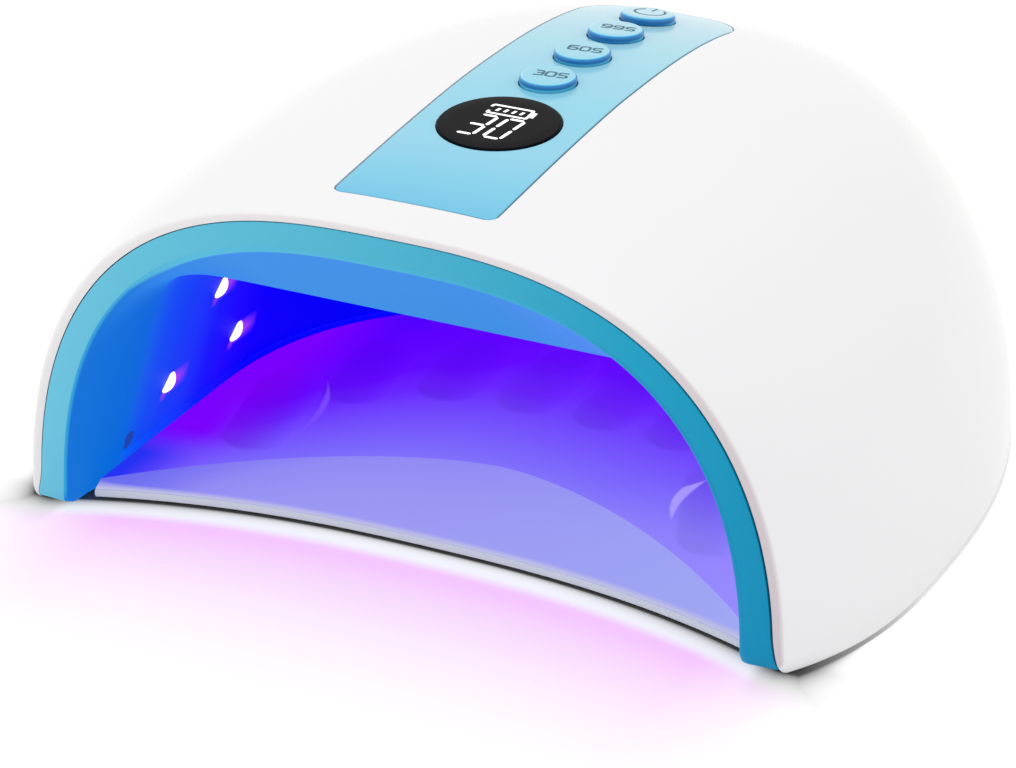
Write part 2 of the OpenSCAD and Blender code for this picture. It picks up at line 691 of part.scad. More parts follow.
module bottom_frame() color("white") place() difference() {
  union() {
    translate([0, 0, frame_z]) linear_extrude(height = frame_t) difference() {
      polygon(foot_line(shell_wall + ring_gap, bezel_depth + 0.3));
      polygon(floor_line(0, bezel_depth - 1));
    }
    for (p = pegs) translate([p.x, p.y, liner_z - 0.5]) cylinder(d = peg_d, h = peg_h + 0.5);
  }
  for (p = bosses) translate([p.x, p.y, frame_z - 1]) {
    cylinder(d = screw_hole_d, h = frame_t + 2);
    cylinder(d = screw_head_d + 0.4, h = screw_head_t + 1);
  }
  for (a = magnet_angles) let (m = flange_point(a))
    translate([m.x, m.y, frame_z - 1]) cylinder(d = magnet_d + 2 * screw_gap, h = magnet_t + 1);
}

// Middle of the tray's flange, at an angle round the cavity
function flange_point(a) = [(cavity_half + tray_flange / 2) * signed_pow(cos(a), 2 / liner_plan_exp),
  straight_to + (cavity_depth - straight_to + tray_flange / 2) * pow(abs(sin(a)), 2 / liner_plan_exp)];
magnet_angles = [0, 50, 130, 180];

module battery_cells() color("royalblue") place() for (s = [-1, 1]) for (row = [0, 1])
  translate([s * (cell_l / 2 + 0.5) - cell_l / 2, cell_at, cell_z(row)]) rotate([0, 90, 0]) {
    cylinder(d = cell_d, h = cell_l - 1);
    translate([0, 0, cell_l - 1]) cylinder(d = cell_d * 0.3, h = 1);
  }
function cell_z(row) = liner_z + holder_wall + 0.1 + cell_d / 2 + row * (cell_d + 0.1);

module battery_holder() color("dimgray") place() {
  long = 2 * cell_l + 1 + 2 * cell_gap;
  wide = cell_d + 2 * cell_gap;
  difference() {
    translate([-long / 2 - holder_wall, cell_at - wide / 2 - holder_wall, liner_z])
      cube([long + 2 * holder_wall, wide + 2 * holder_wall, 1.4 * cell_d]);
    translate([-long / 2, cell_at - wide / 2, liner_z + holder_wall]) cube([long, wide, 2 * cell_d]);
  }
}

module charge_board() color("green") place()
  translate([-charge_w / 2, charge_at, charge_board_z]) cube([charge_w, charge_l, board_t]);

module charge_socket() color("black") place() difference() {
  translate([0, 0, jack_z]) rotate([-90, 0, 0]) union() {
    translate([-jack_body / 2, -jack_body / 2, jack_back - jack_body_l])
      cube([jack_body, jack_body, jack_body_l]);
    translate([0, 0, jack_back - 1]) cylinder(d = jack_collar_d, h = jack_mouth - jack_back + 1);
  }
  translate([0, jack_mouth - jack_bore_l, jack_z]) rotate([-90, 0, 0]) difference() {
    cylinder(d = jack_bore_d, h = jack_bore_l + 1);
    translate([0, 0, -1]) cylinder(d = jack_pin_d, h = jack_bore_l);
  }
}

module housing_magnets() color("silver") place() for (a = magnet_angles) let (m = flange_point(a))
  translate([m.x, m.y, frame_z]) cylinder(d = magnet_d, h = magnet_t);

module case_screws() color("gray") place() for (p = bosses) translate([p.x, p.y, frame_z]) {
  cylinder(d = screw_head_d, h = screw_head_t);
  cylinder(d = screw_d, h = screw_head_t + screw_l);
}

module board_screws() color("gray") place() for (p = board_posts)
  translate([p.x, p.y, board_z - board_t - board_head_t]) {
    cylinder(d = board_head_d, h = board_head_t);
    cylinder(d = board_screw_d, h = board_head_t + board_t + post_hole_l - 0.5);
  }

foot_middle = (boss_front + 3 * boss_rear) / 4;
foot_places = [for (s = [-1, 1]) for (d = [foot_front, foot_middle,
  shell_depth - foot_back]) inside(s, d, shell_wall + ring_gap + foot_in + foot_d / 2)];
module lamp_feet() color("dimgray") place() for (p = foot_places) translate([p.x, p.y, 0])
  cylinder(d = foot_d, h = frame_z);

// Front edge, ramp line and back edge of the tray at a distance from the middle
tray_half = cavity_half - tray_clear;
tray_steps = 32;
tray_x = [for (i = [0:tray_steps]) tray_half * sin(90 * (2 * i / tray_steps - 1))];
ramp_min = 2;
ramp_exp = 1.55;
function tray_edge(x) = tray_front + tray_curve * (1 - pow(abs(x) / bezel_half, tray_curve_exp));
function ramp_edge(x) = tray_edge(x) + ramp_min
  + (ramp_at - tray_front - tray_curve - ramp_min) * (1 - pow(abs(x) / cavity_half, ramp_exp));
function tray_back(x) = straight_to + (cavity_depth - straight_to - tray_clear)
  * pow(max(0, 1 - pow(abs(x) / tray_half, liner_plan_exp)), 1 / liner_plan_exp);
flange_z_top = frame_z - tray_gap;

module base_tray() color("white") place() difference() {
  union() {
    translate([0, 0, tray_lift]) linear_extrude(height = flange_z_top - tray_lift) polygon(concat(
      [for (x = tray_x) [x, tray_edge(x)]], [[tray_half, bezel_depth + 1]],
      floor_line(tray_flange, bezel_depth + 1), [[-tray_half, bezel_depth + 1]]));
    skin([for (x = tray_x) [
      [x, tray_edge(x), tray_lift + 0.5], [x, tray_edge(x), tray_front_z], [x, ramp_edge(x), tray_floor_z],
      [x, tray_back(x), tray_floor_z], [x, tray_back(x), tray_lift + 0.5]]]);
  }
  for (p = rests) translate([p[0], p[1], 0]) rotate([0, 0, p[2]]) finger_rest(p[3]);
  for (a = magnet_angles) let (m = flange_point(a))
    translate([m.x, m.y, flange_z_top - magnet_t]) cylinder(d = magnet_d + 2 * screw_gap, h = magnet_t + 1);
}

// A hollow for a fingertip, with a round front end
rest_r = (rest_w * rest_w / 4 + rest_t * rest_t) / (2 * rest_t);
module finger_rest(length) translate([0, 0, tray_floor_z + rest_r - rest_t]) {
  sphere(r = rest_r, $fn = 96);
  rotate([-90, 0, 0]) cylinder(r = rest_r, h = length, $fn = 96);
}
rests = concat(
  [for (k = [-2.5:1:2.5]) [k * rest_pitch, rest_at - 0.45 * pow(abs(k), 3.3), -3 * k, rest_l]],
  [for (s = [-1, 1]) [s * thumb_x, thumb_at, -s * 14, thumb_l]]);

module tray_magnets() color("silver") place() for (a = magnet_angles) let (m = flange_point(a))
  translate([m.x, m.y, flange_z_top - magnet_t]) cylinder(d = magnet_d, h = magnet_t);

tray_foot_places = [for (x = [-1, 1]) for (d = [foot_front, cavity_depth - foot_back])
  [x * tray_foot_x, d]];
module tray_feet() color("dimgray") place() for (p = tray_foot_places) translate([p.x, p.y, 0])
  cylinder(d = foot_d, h = tray_lift);

module button_30() button(0);
module button_60() button(1);
module button_99() button(2);
module button_power() button(3);
module plunger_30() plunger(0);
module plunger_60() plunger(1);
module plunger_99() plunger(2);
module plunger_power() plunger(3);

top_shell();
front_bezel();
control_strip();
display_window();
display_module();
button_30();
button_60();
button_99();
button_power();
plunger_30();
plunger_60();
plunger_99();
plunger_power();
control_board();
board_carrier();
tact_switches();
screw_ring();
inner_liner();
lamp_beads();
lamp_board_left();
lamp_board_right();
lamp_board_roof();
lamp_board_back();
hand_sensors();
bottom_frame();
battery_cells();
battery_holder();
charge_board();
charge_socket();
housing_magnets();
case_screws();
board_screws();
lamp_feet();
base_tray();
tray_magnets();
tray_feet();
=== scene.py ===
# Cordless nail lamp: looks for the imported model, in metres in the model's own frame
import math
import bmesh
import bpy
import numpy as np
from mathutils import Matrix, Vector


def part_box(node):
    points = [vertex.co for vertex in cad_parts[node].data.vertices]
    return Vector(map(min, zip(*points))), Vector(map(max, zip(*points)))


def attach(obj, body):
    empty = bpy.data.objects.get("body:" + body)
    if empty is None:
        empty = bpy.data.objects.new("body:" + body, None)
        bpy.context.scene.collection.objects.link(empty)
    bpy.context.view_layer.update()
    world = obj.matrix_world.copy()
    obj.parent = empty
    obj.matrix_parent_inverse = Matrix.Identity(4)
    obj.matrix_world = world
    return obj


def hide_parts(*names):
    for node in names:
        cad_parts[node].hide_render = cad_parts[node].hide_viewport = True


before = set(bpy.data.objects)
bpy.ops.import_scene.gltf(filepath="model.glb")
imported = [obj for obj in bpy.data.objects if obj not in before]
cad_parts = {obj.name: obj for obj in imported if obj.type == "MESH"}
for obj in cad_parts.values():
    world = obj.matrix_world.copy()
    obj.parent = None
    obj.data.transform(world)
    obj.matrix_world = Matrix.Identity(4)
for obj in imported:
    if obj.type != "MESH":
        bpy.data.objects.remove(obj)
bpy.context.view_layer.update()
print("frame loaded")

mm = 0.001
shellLow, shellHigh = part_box("top_shell")
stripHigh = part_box("control_strip")[1]

# Sizes are in millimetres. A depth is measured back from the line through the front feet.
shell = {
    "width": (shellHigh.x - shellLow.x) / mm, "height": shellHigh.z / mm, "depth": 222.6,
    "wall": 2.4, "lift": 0.4, "frontTaper": 14.9, "frontDrop": 5.4,
    "widestAt": 73, "highestAt": 82, "bow": 2.5, "bowReach": 36, "frontReach": 60,
    "flareExp": 3, "planExp": 2.13, "riseExp": 1.4, "roofExp": 2.76,
    "acrossExp": 2.74, "upExp": 1.94, "frontUpExp": 2.27, "footCurve": 4.5,
    "columns": 217, "rows": 132, "columnCrowd": 2, "rowCrowd": 2.2,
    "rimWall": 2.9, "rimReach": 10, "rimDepth": 1.2, "rimExp": 2.4, "rimEdge": 0.15, "crownShare": 0.7,
    "toe": 2.3, "toeHeight": 11, "toeReach": 12, "toeExp": 1.9, "lastTop": 0.9995,
}
feetY = shellHigh.y / mm - shell["depth"]
halfWidth = shell["width"] / 2
frontHalf = halfWidth - shell["frontTaper"]
frontTop = shell["height"] - shell["frontDrop"]


# Sums on node sockets: each step adds a Math node
class Wire:
    def __init__(self, tree, socket):
        self.tree, self.socket = tree, socket

    def step(self, operation, *others):
        node = self.tree.nodes.new("ShaderNodeMath")
        node.operation = operation
        for slotNumber, value in enumerate((self, *others)):
            if isinstance(value, Wire):
                self.tree.links.new(value.socket, node.inputs[slotNumber])
            else:
                node.inputs[slotNumber].default_value = value
        return Wire(self.tree, node.outputs[0])

    def __add__(self, other):
        return self.step("ADD", other)

    def __sub__(self, other):
        return self.step("SUBTRACT", other)

    def __mul__(self, other):
        return self.step("MULTIPLY", other)

    def __truediv__(self, other):
        return self.step("DIVIDE", other)

    def __pow__(self, other):
        return self.step("POWER", other)

    def __rsub__(self, other):
        return self * -1 + other

    def __rtruediv__(self, other):
        return (self ** -1) * other

    __radd__, __rmul__ = __add__, __mul__

    def atLeast(self, floor):
        return self.step("MAXIMUM", floor)

    def atMost(self, ceiling):
        return self.step("MINIMUM", ceiling)

    def clipped(self):
        return self.atLeast(0).atMost(1)

    def size(self):
        return self.step("ABSOLUTE")


def linear(red, green, blue):
    # A screen colour from 0 to 255, as the linear colour that a socket takes
    parts = [c / 255 for c in (red, green, blue)]
    return [c / 12.92 if c <= 0.04045 else ((c + 0.055) / 1.055) ** 2.4 for c in parts] + [1]


def newMaterial(name):
    material = bpy.data.materials.new(name)
    material.use_nodes = True
    tree = material.node_tree
    return material, tree, tree.nodes["Principled BSDF"]


def objectPlace(tree):
    # Object coordinates in millimetres, as three wires: across, depth behind the feet, height
    coords = tree.nodes.new("ShaderNodeTexCoord")
    parts = tree.nodes.new("ShaderNodeSeparateXYZ")
    tree.links.new(coords.outputs["Object"], parts.inputs[0])
    across, along, up = (Wire(tree, parts.outputs[i]) * (1 / mm) for i in range(3))
    return across, along - feetY, up


def surfaceNormal(tree):
    geometry = tree.nodes.new("ShaderNodeNewGeometry")
    parts = tree.nodes.new("ShaderNodeSeparateXYZ")
    tree.links.new(geometry.outputs["Normal"], parts.inputs[0])
    return [Wire(tree, parts.outputs[i]) for i in range(3)]


def ramp(tree, wire, low, high, stops):
    # Colours along a wire's value from low to high; a stop is a value and a screen colour
    node = tree.nodes.new("ShaderNodeValToRGB")
    tree.links.new(((wire - low) / (high - low)).socket, node.inputs[0])
    elements = node.color_ramp.elements
    while len(elements) < len(stops):
        elements.new(0.5)
    for element, (value, colour) in zip(elements, stops):
        element.position = (value - low) / (high - low)
        element.color = linear(*colour)
    return node.outputs[0]


def blendColours(tree, share, first, second):
    node = tree.nodes.new("ShaderNodeMix")
    node.data_type = "RGBA"
    tree.links.new(share.socket, node.inputs["Factor"])
    for name, colour in (("A", first), ("B", second)):
        socket = [s for s in node.inputs if s.name == name and s.type == "RGBA"][0]
        if isinstance(colour, bpy.types.NodeSocket):
            tree.links.new(colour, socket)
        else:
            socket.default_value = colour
    return [s for s in node.outputs if s.type == "RGBA"][0]


def noise(tree, scale):
    coords = tree.nodes.new("ShaderNodeTexCoord")
    node = tree.nodes.new("ShaderNodeTexNoise")
    node.inputs["Scale"].default_value = scale
    node.inputs["Detail"].default_value = 2
    tree.links.new(coords.outputs["Object"], node.inputs["Vector"])
    return Wire(tree, node.outputs[0])


def addGrain(tree, shader, scale, depth):
    bump = tree.nodes.new("ShaderNodeBump")
    bump.inputs["Strength"].default_value = 0.5
    bump.inputs["Distance"].default_value = depth * mm
    tree.links.new(noise(tree, scale).socket, bump.inputs["Height"])
    tree.links.new(bump.outputs[0], shader.inputs["Normal"])


def plastic(name, colour, roughness, grain=0.02, grainScale=900, shade=0.03):
    # Moulded plastic: a faint drift of colour and gloss, and a fine grain
    material, tree, shader = newMaterial(name)
    drift = noise(tree, 40)
    darker = [c * (1 - shade) for c in linear(*colour)[:3]] + [1]
    tree.links.new(blendColours(tree, drift, linear(*colour), darker), shader.inputs["Base Color"])
    tree.links.new((drift * 0.08 + (roughness - 0.04)).socket, shader.inputs["Roughness"])
    addGrain(tree, shader, grainScale, grain)
    return material


def metal(name, colour, roughness):
    material, tree, shader = newMaterial(name)
    shader.inputs["Base Color"].default_value = linear(*colour)
    shader.inputs["Metallic"].default_value = 1
    tree.links.new((noise(tree, 300) * 0.2 + roughness).socket, shader.inputs["Roughness"])
    addGrain(tree, shader, 1500, 0.01)
    return material


def glowing(material, tree, shader, colour, base, roughness=0.45):
    # Plastic that is lit from inside: the light of the beads is in its own glow
    tree.links.new(colour, shader.inputs["Emission Color"])
    shader.inputs["Emission Strength"].default_value = 1
    shader.inputs["Base Color"].default_value = base
    shader.inputs["Roughness"].default_value = roughness
    shader.inputs["Specular IOR Level"].default_value = 0.08
    return material


# Pieces: points in millimetres, with y the depth behind the feet
def rowPoints(points):
    return (np.asarray(points, float) + (0, feetY, 0)) * mm


def makeMesh(name, points, faces, materials, faceMaterials=None):
    mesh = bpy.data.meshes.new(name)
    mesh.from_pydata([tuple(p) for p in rowPoints(points)], [], [tuple(map(int, f)) for f in faces])
    for material in materials:
        mesh.materials.append(material)
    if faceMaterials is not None:
        mesh.polygons.foreach_set("material_index", np.asarray(faceMaterials, np.int32))
    mesh.update()
    piece = bpy.data.objects.new(name, mesh)
    bpy.context.scene.collection.objects.link(piece)
    return piece


def sealed(piece, gap=0.002):
    # Merges doubles and turns every face outwards
    work = bmesh.new()
    work.from_mesh(piece.data)
    bmesh.ops.remove_doubles(work, verts=work.verts, dist=gap * mm)
    bmesh.ops.dissolve_degenerate(work, edges=work.edges, dist=gap * mm * 0.5)
    bmesh.ops.recalc_face_normals(work, faces=work.faces)
    work.to_mesh(piece.data)
    work.free()
    return piece


def solid(name, shape, material, place=Matrix.Identity(4)):
    # A closed piece of one material; a shape is its points and its faces
    points, faces = shape
    return sealed(makeMesh(name, moved(points, place), faces, [material]))


def evaluated(piece):
    # Turns the piece's modifiers into plain mesh
    result = bpy.data.meshes.new_from_object(piece.evaluated_get(bpy.context.evaluated_depsgraph_get()))
    piece.modifiers.clear()
    old = piece.data
    piece.data = result
    bpy.data.meshes.remove(old)
    result.name = piece.name
    return piece


def cutWith(piece, cutters):
    for cutter in cutters:
        step = piece.modifiers.new("cut", "BOOLEAN")
        step.operation, step.solver, step.object = "DIFFERENCE", "EXACT", cutter
        step.material_mode = "TRANSFER"
    evaluated(piece)
    for cutter in cutters:
        bpy.data.objects.remove(cutter)
    return piece


def smooth(piece, degrees):
    piece.data.shade_smooth()
    piece.data.set_sharp_from_angle(angle=math.radians(degrees))
    return piece


def finishPiece(piece, body, stands=(), degrees=32):
    smooth(piece, degrees)
    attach(piece, body)
    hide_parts(*stands)
    return piece


def gridFaces(rows, columns, start=0, closed=False):
    i, j = np.meshgrid(np.arange(rows - 1), np.arange(columns if closed else columns - 1), indexing="ij")
    a = start + i * columns + j
    b = start + i * columns + (j + 1) % columns
    return np.stack([a, b, b + columns, a + columns], -1).reshape(-1, 4)


def lathe(profile, steps):
    # A closed turned solid; the profile runs from the foot of the axis to its top
    profile = np.asarray(profile, float)
    rings = profile[1:-1]
    turn = np.linspace(0, 2 * np.pi, steps, endpoint=False)
    points = [np.stack([r * np.cos(turn), r * np.sin(turn), np.full(steps, z)], 1) for r, z in rings]
    points = np.concatenate(points + [[[0, 0, profile[0][1]]], [[0, 0, profile[-1][1]]]])
    faces = [list(f) for f in gridFaces(len(rings), steps, closed=True)]
    low, high, last = len(points) - 2, len(points) - 1, (len(rings) - 1) * steps
    for k in range(steps):
        n = (k + 1) % steps
        faces += [[low, n, k], [high, last + k, last + n]]
    return points, faces


def quarter(cx, cz, radius, start, end, steps):
    angles = np.radians(np.linspace(start, end, steps))
    return [(cx + radius * math.cos(a), cz + radius * math.sin(a)) for a in angles]


def slab(outline, low, high):
    # A closed plate with an outline of points in plan
    n = len(outline)
    points = [(x, y, z) for z in (low, high) for x, y in outline]
    faces = [[k, (k + 1) % n, n + (k + 1) % n, n + k] for k in range(n)]
    return np.array(points, float), faces + [list(range(n))[::-1], list(range(n, 2 * n))]


def moved(points, matrix):
    turned = np.array(matrix)
    return np.asarray(points, float) @ turned[:3, :3].T + turned[:3, 3]


def joined(parts):
    points, faces, start = [], [], 0
    for somePoints, someFaces in parts:
        points.append(np.asarray(somePoints, float))
        faces += [[start + v for v in f] for f in someFaces]
        start += len(somePoints)
    return np.concatenate(points), faces


# Rules of the shell's shape
def shellHalf(d):
    past = np.clip((d - shell["widestAt"]) / (shell["depth"] - shell["widestAt"]), 0, 1)
    before = np.clip((shell["widestAt"] - d) / shell["widestAt"], 0, None)
    rear = halfWidth * (1 - past ** shell["planExp"]) ** (1 / shell["planExp"])
    return rear - shell["frontTaper"] * before ** shell["flareExp"]


def shellTop(d):
    past = np.clip((d - shell["highestAt"]) / (shell["depth"] - shell["highestAt"]), 0, 1)
    before = np.clip((shell["highestAt"] - d) / shell["highestAt"], 0, None)
    rear = (shell["height"] - shell["lift"]) * (1 - past ** shell["roofExp"]) ** (1 / shell["roofExp"])
    return shell["lift"] + rear - shell["frontDrop"] * before ** shell["riseExp"]


def skinZ(x, d):
    nearFront = np.clip(1 - d / shell["frontReach"], 0, None) ** 2
    upExp = shell["upExp"] + (shell["frontUpExp"] - shell["upExp"]) * nearFront
    across = 1 - (np.abs(x) / shellHalf(d)) ** shell["acrossExp"]
    return shell["lift"] + (shellTop(d) - shell["lift"]) * across ** (1 / upExp)


def slope(d):
    return math.atan((shellTop(d + 1) - shellTop(d - 1)) / 2)


def onSkin(d):
    return Matrix.Translation((0, d, float(skinZ(0, d)))) @ Matrix.Rotation(slope(d), 4, "X")


def bowAt(x):
    return -shell["bow"] * (1 - (x / frontHalf) ** 2)


def footCurve(z):
    # How far the front edges run back near the table
    low = np.clip(shell["footCurve"] - z, 0, None)
    return shell["footCurve"] - np.sqrt(np.clip(shell["footCurve"] ** 2 - low ** 2, 0, None))


def arch(width, height, acrossExp, upExp, lean=0.0, steps=160):
    # An arch from the right foot over the top to the left foot, evenly spaced
    a = np.radians(np.linspace(0, 180, 1441))
    up = np.abs(np.sin(a)) ** (2 / upExp)
    x = width * (1 - lean * up) * np.sign(np.cos(a)) * np.abs(np.cos(a)) ** (2 / acrossExp)
    z = height * up
    run = np.concatenate([[0], np.cumsum(np.hypot(np.diff(x), np.diff(z)))])
    at = np.linspace(0, run[-1], steps + 1)
    return np.stack([np.interp(at, run, x), np.interp(at, run, z)], 1)


# Geometry Nodes
def geometryTree(name, floats, others=()):
    tree = bpy.data.node_groups.new(name, "GeometryNodeTree")
    tree.interface.new_socket("Geometry", in_out="INPUT", socket_type="NodeSocketGeometry")
    for label in floats:
        tree.interface.new_socket(label, in_out="INPUT", socket_type="NodeSocketFloat")
    for label, kind in others:
        tree.interface.new_socket(label, in_out="INPUT", socket_type=kind)
    tree.interface.new_socket("Geometry", in_out="OUTPUT", socket_type="NodeSocketGeometry")
    return tree, tree.nodes.new("NodeGroupInput"), tree.nodes.new("NodeGroupOutput")


def addTree(piece, tree, values):
    # A modifier's input is set by its socket's identifier
    step = piece.modifiers.new(tree.name, "NODES")
    step.node_group = tree
    for item in tree.interface.items_tree:
        if item.in_out == "INPUT" and item.name in values:
            step[item.identifier] = values[item.name]
    return evaluated(piece)


def link(tree, source, target):
    tree.links.new(source.socket if isinstance(source, Wire) else source, target)


def chain(tree, kind, source, **inputs):
    # One geometry node after another; inputs are given by socket name
    node = tree.nodes.new(kind)
    if source is not None:
        tree.links.new(source, node.inputs[0])
    for label, value in inputs.items():
        socket = node.inputs[label.replace("_", " ")]
        if isinstance(value, (Wire, bpy.types.NodeSocket)):
            link(tree, value, socket)
        else:
            socket.default_value = value
    return node


def domeTree():
    # The shell's skin: rows of superellipse arches that close on a short upright line at the back
    labels = ["Half Width", "Height", "Depth", "Front Taper", "Front Drop", "Widest At", "Highest At",
              "Lift", "Bow", "Wall", "Foot Curve"]
    tree, source, result = geometryTree("domeSkin", labels, [("Material", "NodeSocketMaterial")])
    size = {label: Wire(tree, source.outputs[label]) for label in labels}
    quarterTurn = math.pi / 2
    skins = []
    for inner in (0, 1):
        grid = chain(tree, "GeometryNodeMeshGrid", None, Size_X=2.0, Size_Y=1.0,
                     Vertices_X=shell["columns"], Vertices_Y=shell["rows"])
        parts = chain(tree, "ShaderNodeSeparateXYZ", tree.nodes.new("GeometryNodeInputPosition").outputs[0])
        across, along = Wire(tree, parts.outputs[0]), Wire(tree, parts.outputs[1]) + 0.5
        crowded = 1 - (1 - across.size()).atLeast(0) ** shell["columnCrowd"]
        share = (crowded * quarterTurn).step("SINE")
        d = size["Depth"] * ((along.atLeast(0) ** shell["rowCrowd"]) * quarterTurn).step("SINE")
        past = ((d - size["Widest At"]) / (size["Depth"] - size["Widest At"])).atLeast(0)
        before = ((size["Widest At"] - d) / size["Widest At"]).atLeast(0)
        half = size["Half Width"] * (1 - past ** shell["planExp"]).atLeast(0) ** (1 / shell["planExp"])
        half = half - size["Front Taper"] * before ** shell["flareExp"]
        past = ((d - size["Highest At"]) / (size["Depth"] - size["Highest At"])).atLeast(0)
        past = past.atMost(shell["lastTop"])
        before = ((size["Highest At"] - d) / size["Highest At"]).atLeast(0)
        tall = (1 - past ** shell["roofExp"]).atLeast(0) ** (1 / shell["roofExp"])
        tall = (size["Height"] - size["Lift"]) * tall - size["Front Drop"] * before ** shell["riseExp"]
        nearFront = (1 - d / shell["frontReach"]).atLeast(0) ** 2
        upExp = nearFront * (shell["frontUpExp"] - shell["upExp"]) + shell["upExp"]
        x = half * share
        z = tall * (1 - share.size() ** shell["acrossExp"]).atLeast(0) ** (1 / upExp)
        # The rim turns in from the outer skin, and thins at the foot, where the bezel's toe flares out
        toe = (1 - z / shell["toeHeight"]).atLeast(0) ** shell["toeExp"]
        toe = toe * (1 - d / shell["toeReach"]).atLeast(0)
        wall = size["Wall"] + (1 - d / shell["rimReach"]).atLeast(0) * (shell["rimWall"] - shell["wall"])
        wall = wall - toe * shell["toe"]
        fromEdge = d.atMost(z)
        if inner:
            edge = (shell["rimEdge"] - fromEdge).atLeast(0)
            inset = wall - shell["rimEdge"] + (shell["rimEdge"] ** 2 - edge * edge).atLeast(0) ** 0.5
        else:
            edge = (1 - fromEdge / shell["rimDepth"]).atLeast(0) ** shell["rimExp"]
            inset = (wall - shell["rimEdge"]) * (1 - (1 - edge).atLeast(0) ** (1 / shell["rimExp"]))
        near = (1 - d / shell["bowReach"]).atLeast(0) ** 2
        low = (size["Foot Curve"] - z).atLeast(0)
        back = size["Foot Curve"] - (size["Foot Curve"] * size["Foot Curve"] - low * low).atLeast(0) ** 0.5
        frontWidth = size["Half Width"] - size["Front Taper"]
        bow = size["Bow"] * (1 - (x / frontWidth) ** 2)
        y = d * (1 - inset / size["Depth"]) + near * (back - bow)
        side = across.step("SIGN")
        place = tree.nodes.new("ShaderNodeCombineXYZ")
        x = x * side * (1 - inset / size["Half Width"])
        z = z * (1 - inset * shell["crownShare"] / size["Height"]) + size["Lift"]
        for wire, target in zip((x, y + feetY, z), place.inputs):
            link(tree, wire * mm, target)
        skin = chain(tree, "GeometryNodeSetPosition", grid.outputs[0], Position=place.outputs[0])
        if inner:
            skin = chain(tree, "GeometryNodeFlipFaces", skin.outputs[0])
        skins.append(skin)
    both = tree.nodes.new("GeometryNodeJoinGeometry")
    for skin in skins:
        tree.links.new(skin.outputs[0], both.inputs[0])
    whole = chain(tree, "GeometryNodeMergeByDistance", both.outputs[0], Distance=0.004 * mm)
    whole = chain(tree, "GeometryNodeRealizeInstances", whole.outputs[0])
    whole = chain(tree, "GeometryNodeSetMaterial", whole.outputs[0], Material=source.outputs["Material"])
    tree.links.new(whole.outputs[0], result.inputs[0])
    return tree


def scatterTree():
    # Stands one shape on each point: its axis along "facing", its x side towards "ahead"
    tree, source, target = geometryTree("scatter", ["Size"], [
        ("Shape", "NodeSocketObject"), ("Material", "NodeSocketMaterial")])
    turned = None
    for label, axis in (("facing", "Z"), ("ahead", "X")):
        direction = tree.nodes.new("GeometryNodeInputNamedAttribute")
        direction.data_type = "FLOAT_VECTOR"
        direction.inputs["Name"].default_value = label
        turn = tree.nodes.new("FunctionNodeAlignRotationToVector")
        turn.axis = axis
        if turned is not None:
            turn.pivot_axis = "Z"
            tree.links.new(turned.outputs[0], turn.inputs["Rotation"])
        tree.links.new(direction.outputs[0], turn.inputs["Vector"])
        turned = turn
    info = chain(tree, "GeometryNodeObjectInfo", source.outputs["Shape"])
    copies = chain(tree, "GeometryNodeInstanceOnPoints", source.outputs["Geometry"],
                   Instance=info.outputs["Geometry"], Rotation=turned.outputs[0],
                   Scale=source.outputs["Size"])
    whole = chain(tree, "GeometryNodeRealizeInstances", copies.outputs[0])
    whole = chain(tree, "GeometryNodeSetMaterial", whole.outputs[0], Material=source.outputs["Material"])
    tree.links.new(whole.outputs[0], target.inputs[0])
    return tree


scatter = scatterTree()


def scattered(name, shape, places, facings, material, aheads=None):
    # Copies of a shape, whose points are in millimetres about its own foot
    shapeMesh = bpy.data.meshes.new(name + "Shape")
    shapeMesh.from_pydata([tuple(p) for p in np.asarray(shape[0]) * mm], [], [list(f) for f in shape[1]])
    shapeMesh.materials.append(material)
    shapePiece = bpy.data.objects.new(name + "Shape", shapeMesh)
    bpy.context.scene.collection.objects.link(shapePiece)
    sealed(shapePiece)
    piece = makeMesh(name, places, [], [material])
    for label, vectors in (("facing", facings), ("ahead", aheads or [(1, 0, 0)] * len(places))):
        direction = piece.data.attributes.new(label, "FLOAT_VECTOR", "POINT")
        direction.data.foreach_set("vector", np.asarray(vectors, float).reshape(-1))
    addTree(piece, scatter, {"Size": 1.0, "Shape": shapePiece, "Material": material})
    bpy.data.objects.remove(shapePiece)
    return piece


# Shell
def shellPlastic():
    material, tree, shader = newMaterial("shellWhite")
    across, d = objectPlace(tree)[:2]
    fromEdge = d + shell["bow"] * (1 - (across / frontHalf) ** 2)
    rim = ((0.6 - fromEdge) / 0.4).clipped()
    drift = noise(tree, 12)
    body = blendColours(tree, drift, linear(244, 243, 244), linear(241, 240, 242))
    # The front rim is painted pink with the cavity's violet light, and darker towards the right with painted
    # shade
    rimPaintedGlowAndShade = ramp(tree, across, -100, 100, [
        (-60, (237, 233, 233)), (40, (229, 222, 223)), (92, (214, 203, 206))])
    tree.links.new(blendColours(tree, rim, body, rimPaintedGlowAndShade), shader.inputs["Base Color"])
    tree.links.new((drift * 0.06 + 0.16).socket, shader.inputs["Roughness"])
    addGrain(tree, shader, 220, 0.004)
    return material


strip = {"half": stripHigh.x / mm, "front": 11.8, "back": 161, "frontCorner": 2.8, "backCorner": 14,
         "thickness": 2.2, "edge": 0.45, "gap": 0.25, "bevel": 0.35, "cut": (76, 130),
         "columns": 60, "rows": 190}


def stripOutline(grow):
    # Rounded plan of the control strip, from its right back corner round anticlockwise
    half, front, back = strip["half"], strip["front"], strip["back"]
    near, far = strip["frontCorner"], strip["backCorner"]
    corners = [(half - far, back - far, far, 0), (far - half, back - far, far, 90),
               (near - half, front + near, near, 180), (half - near, front + near, near, 270)]
    return [p for cx, cy, corner, start in corners
            for p in quarter(cx, cy, corner + grow, start, start + 90, 10)]


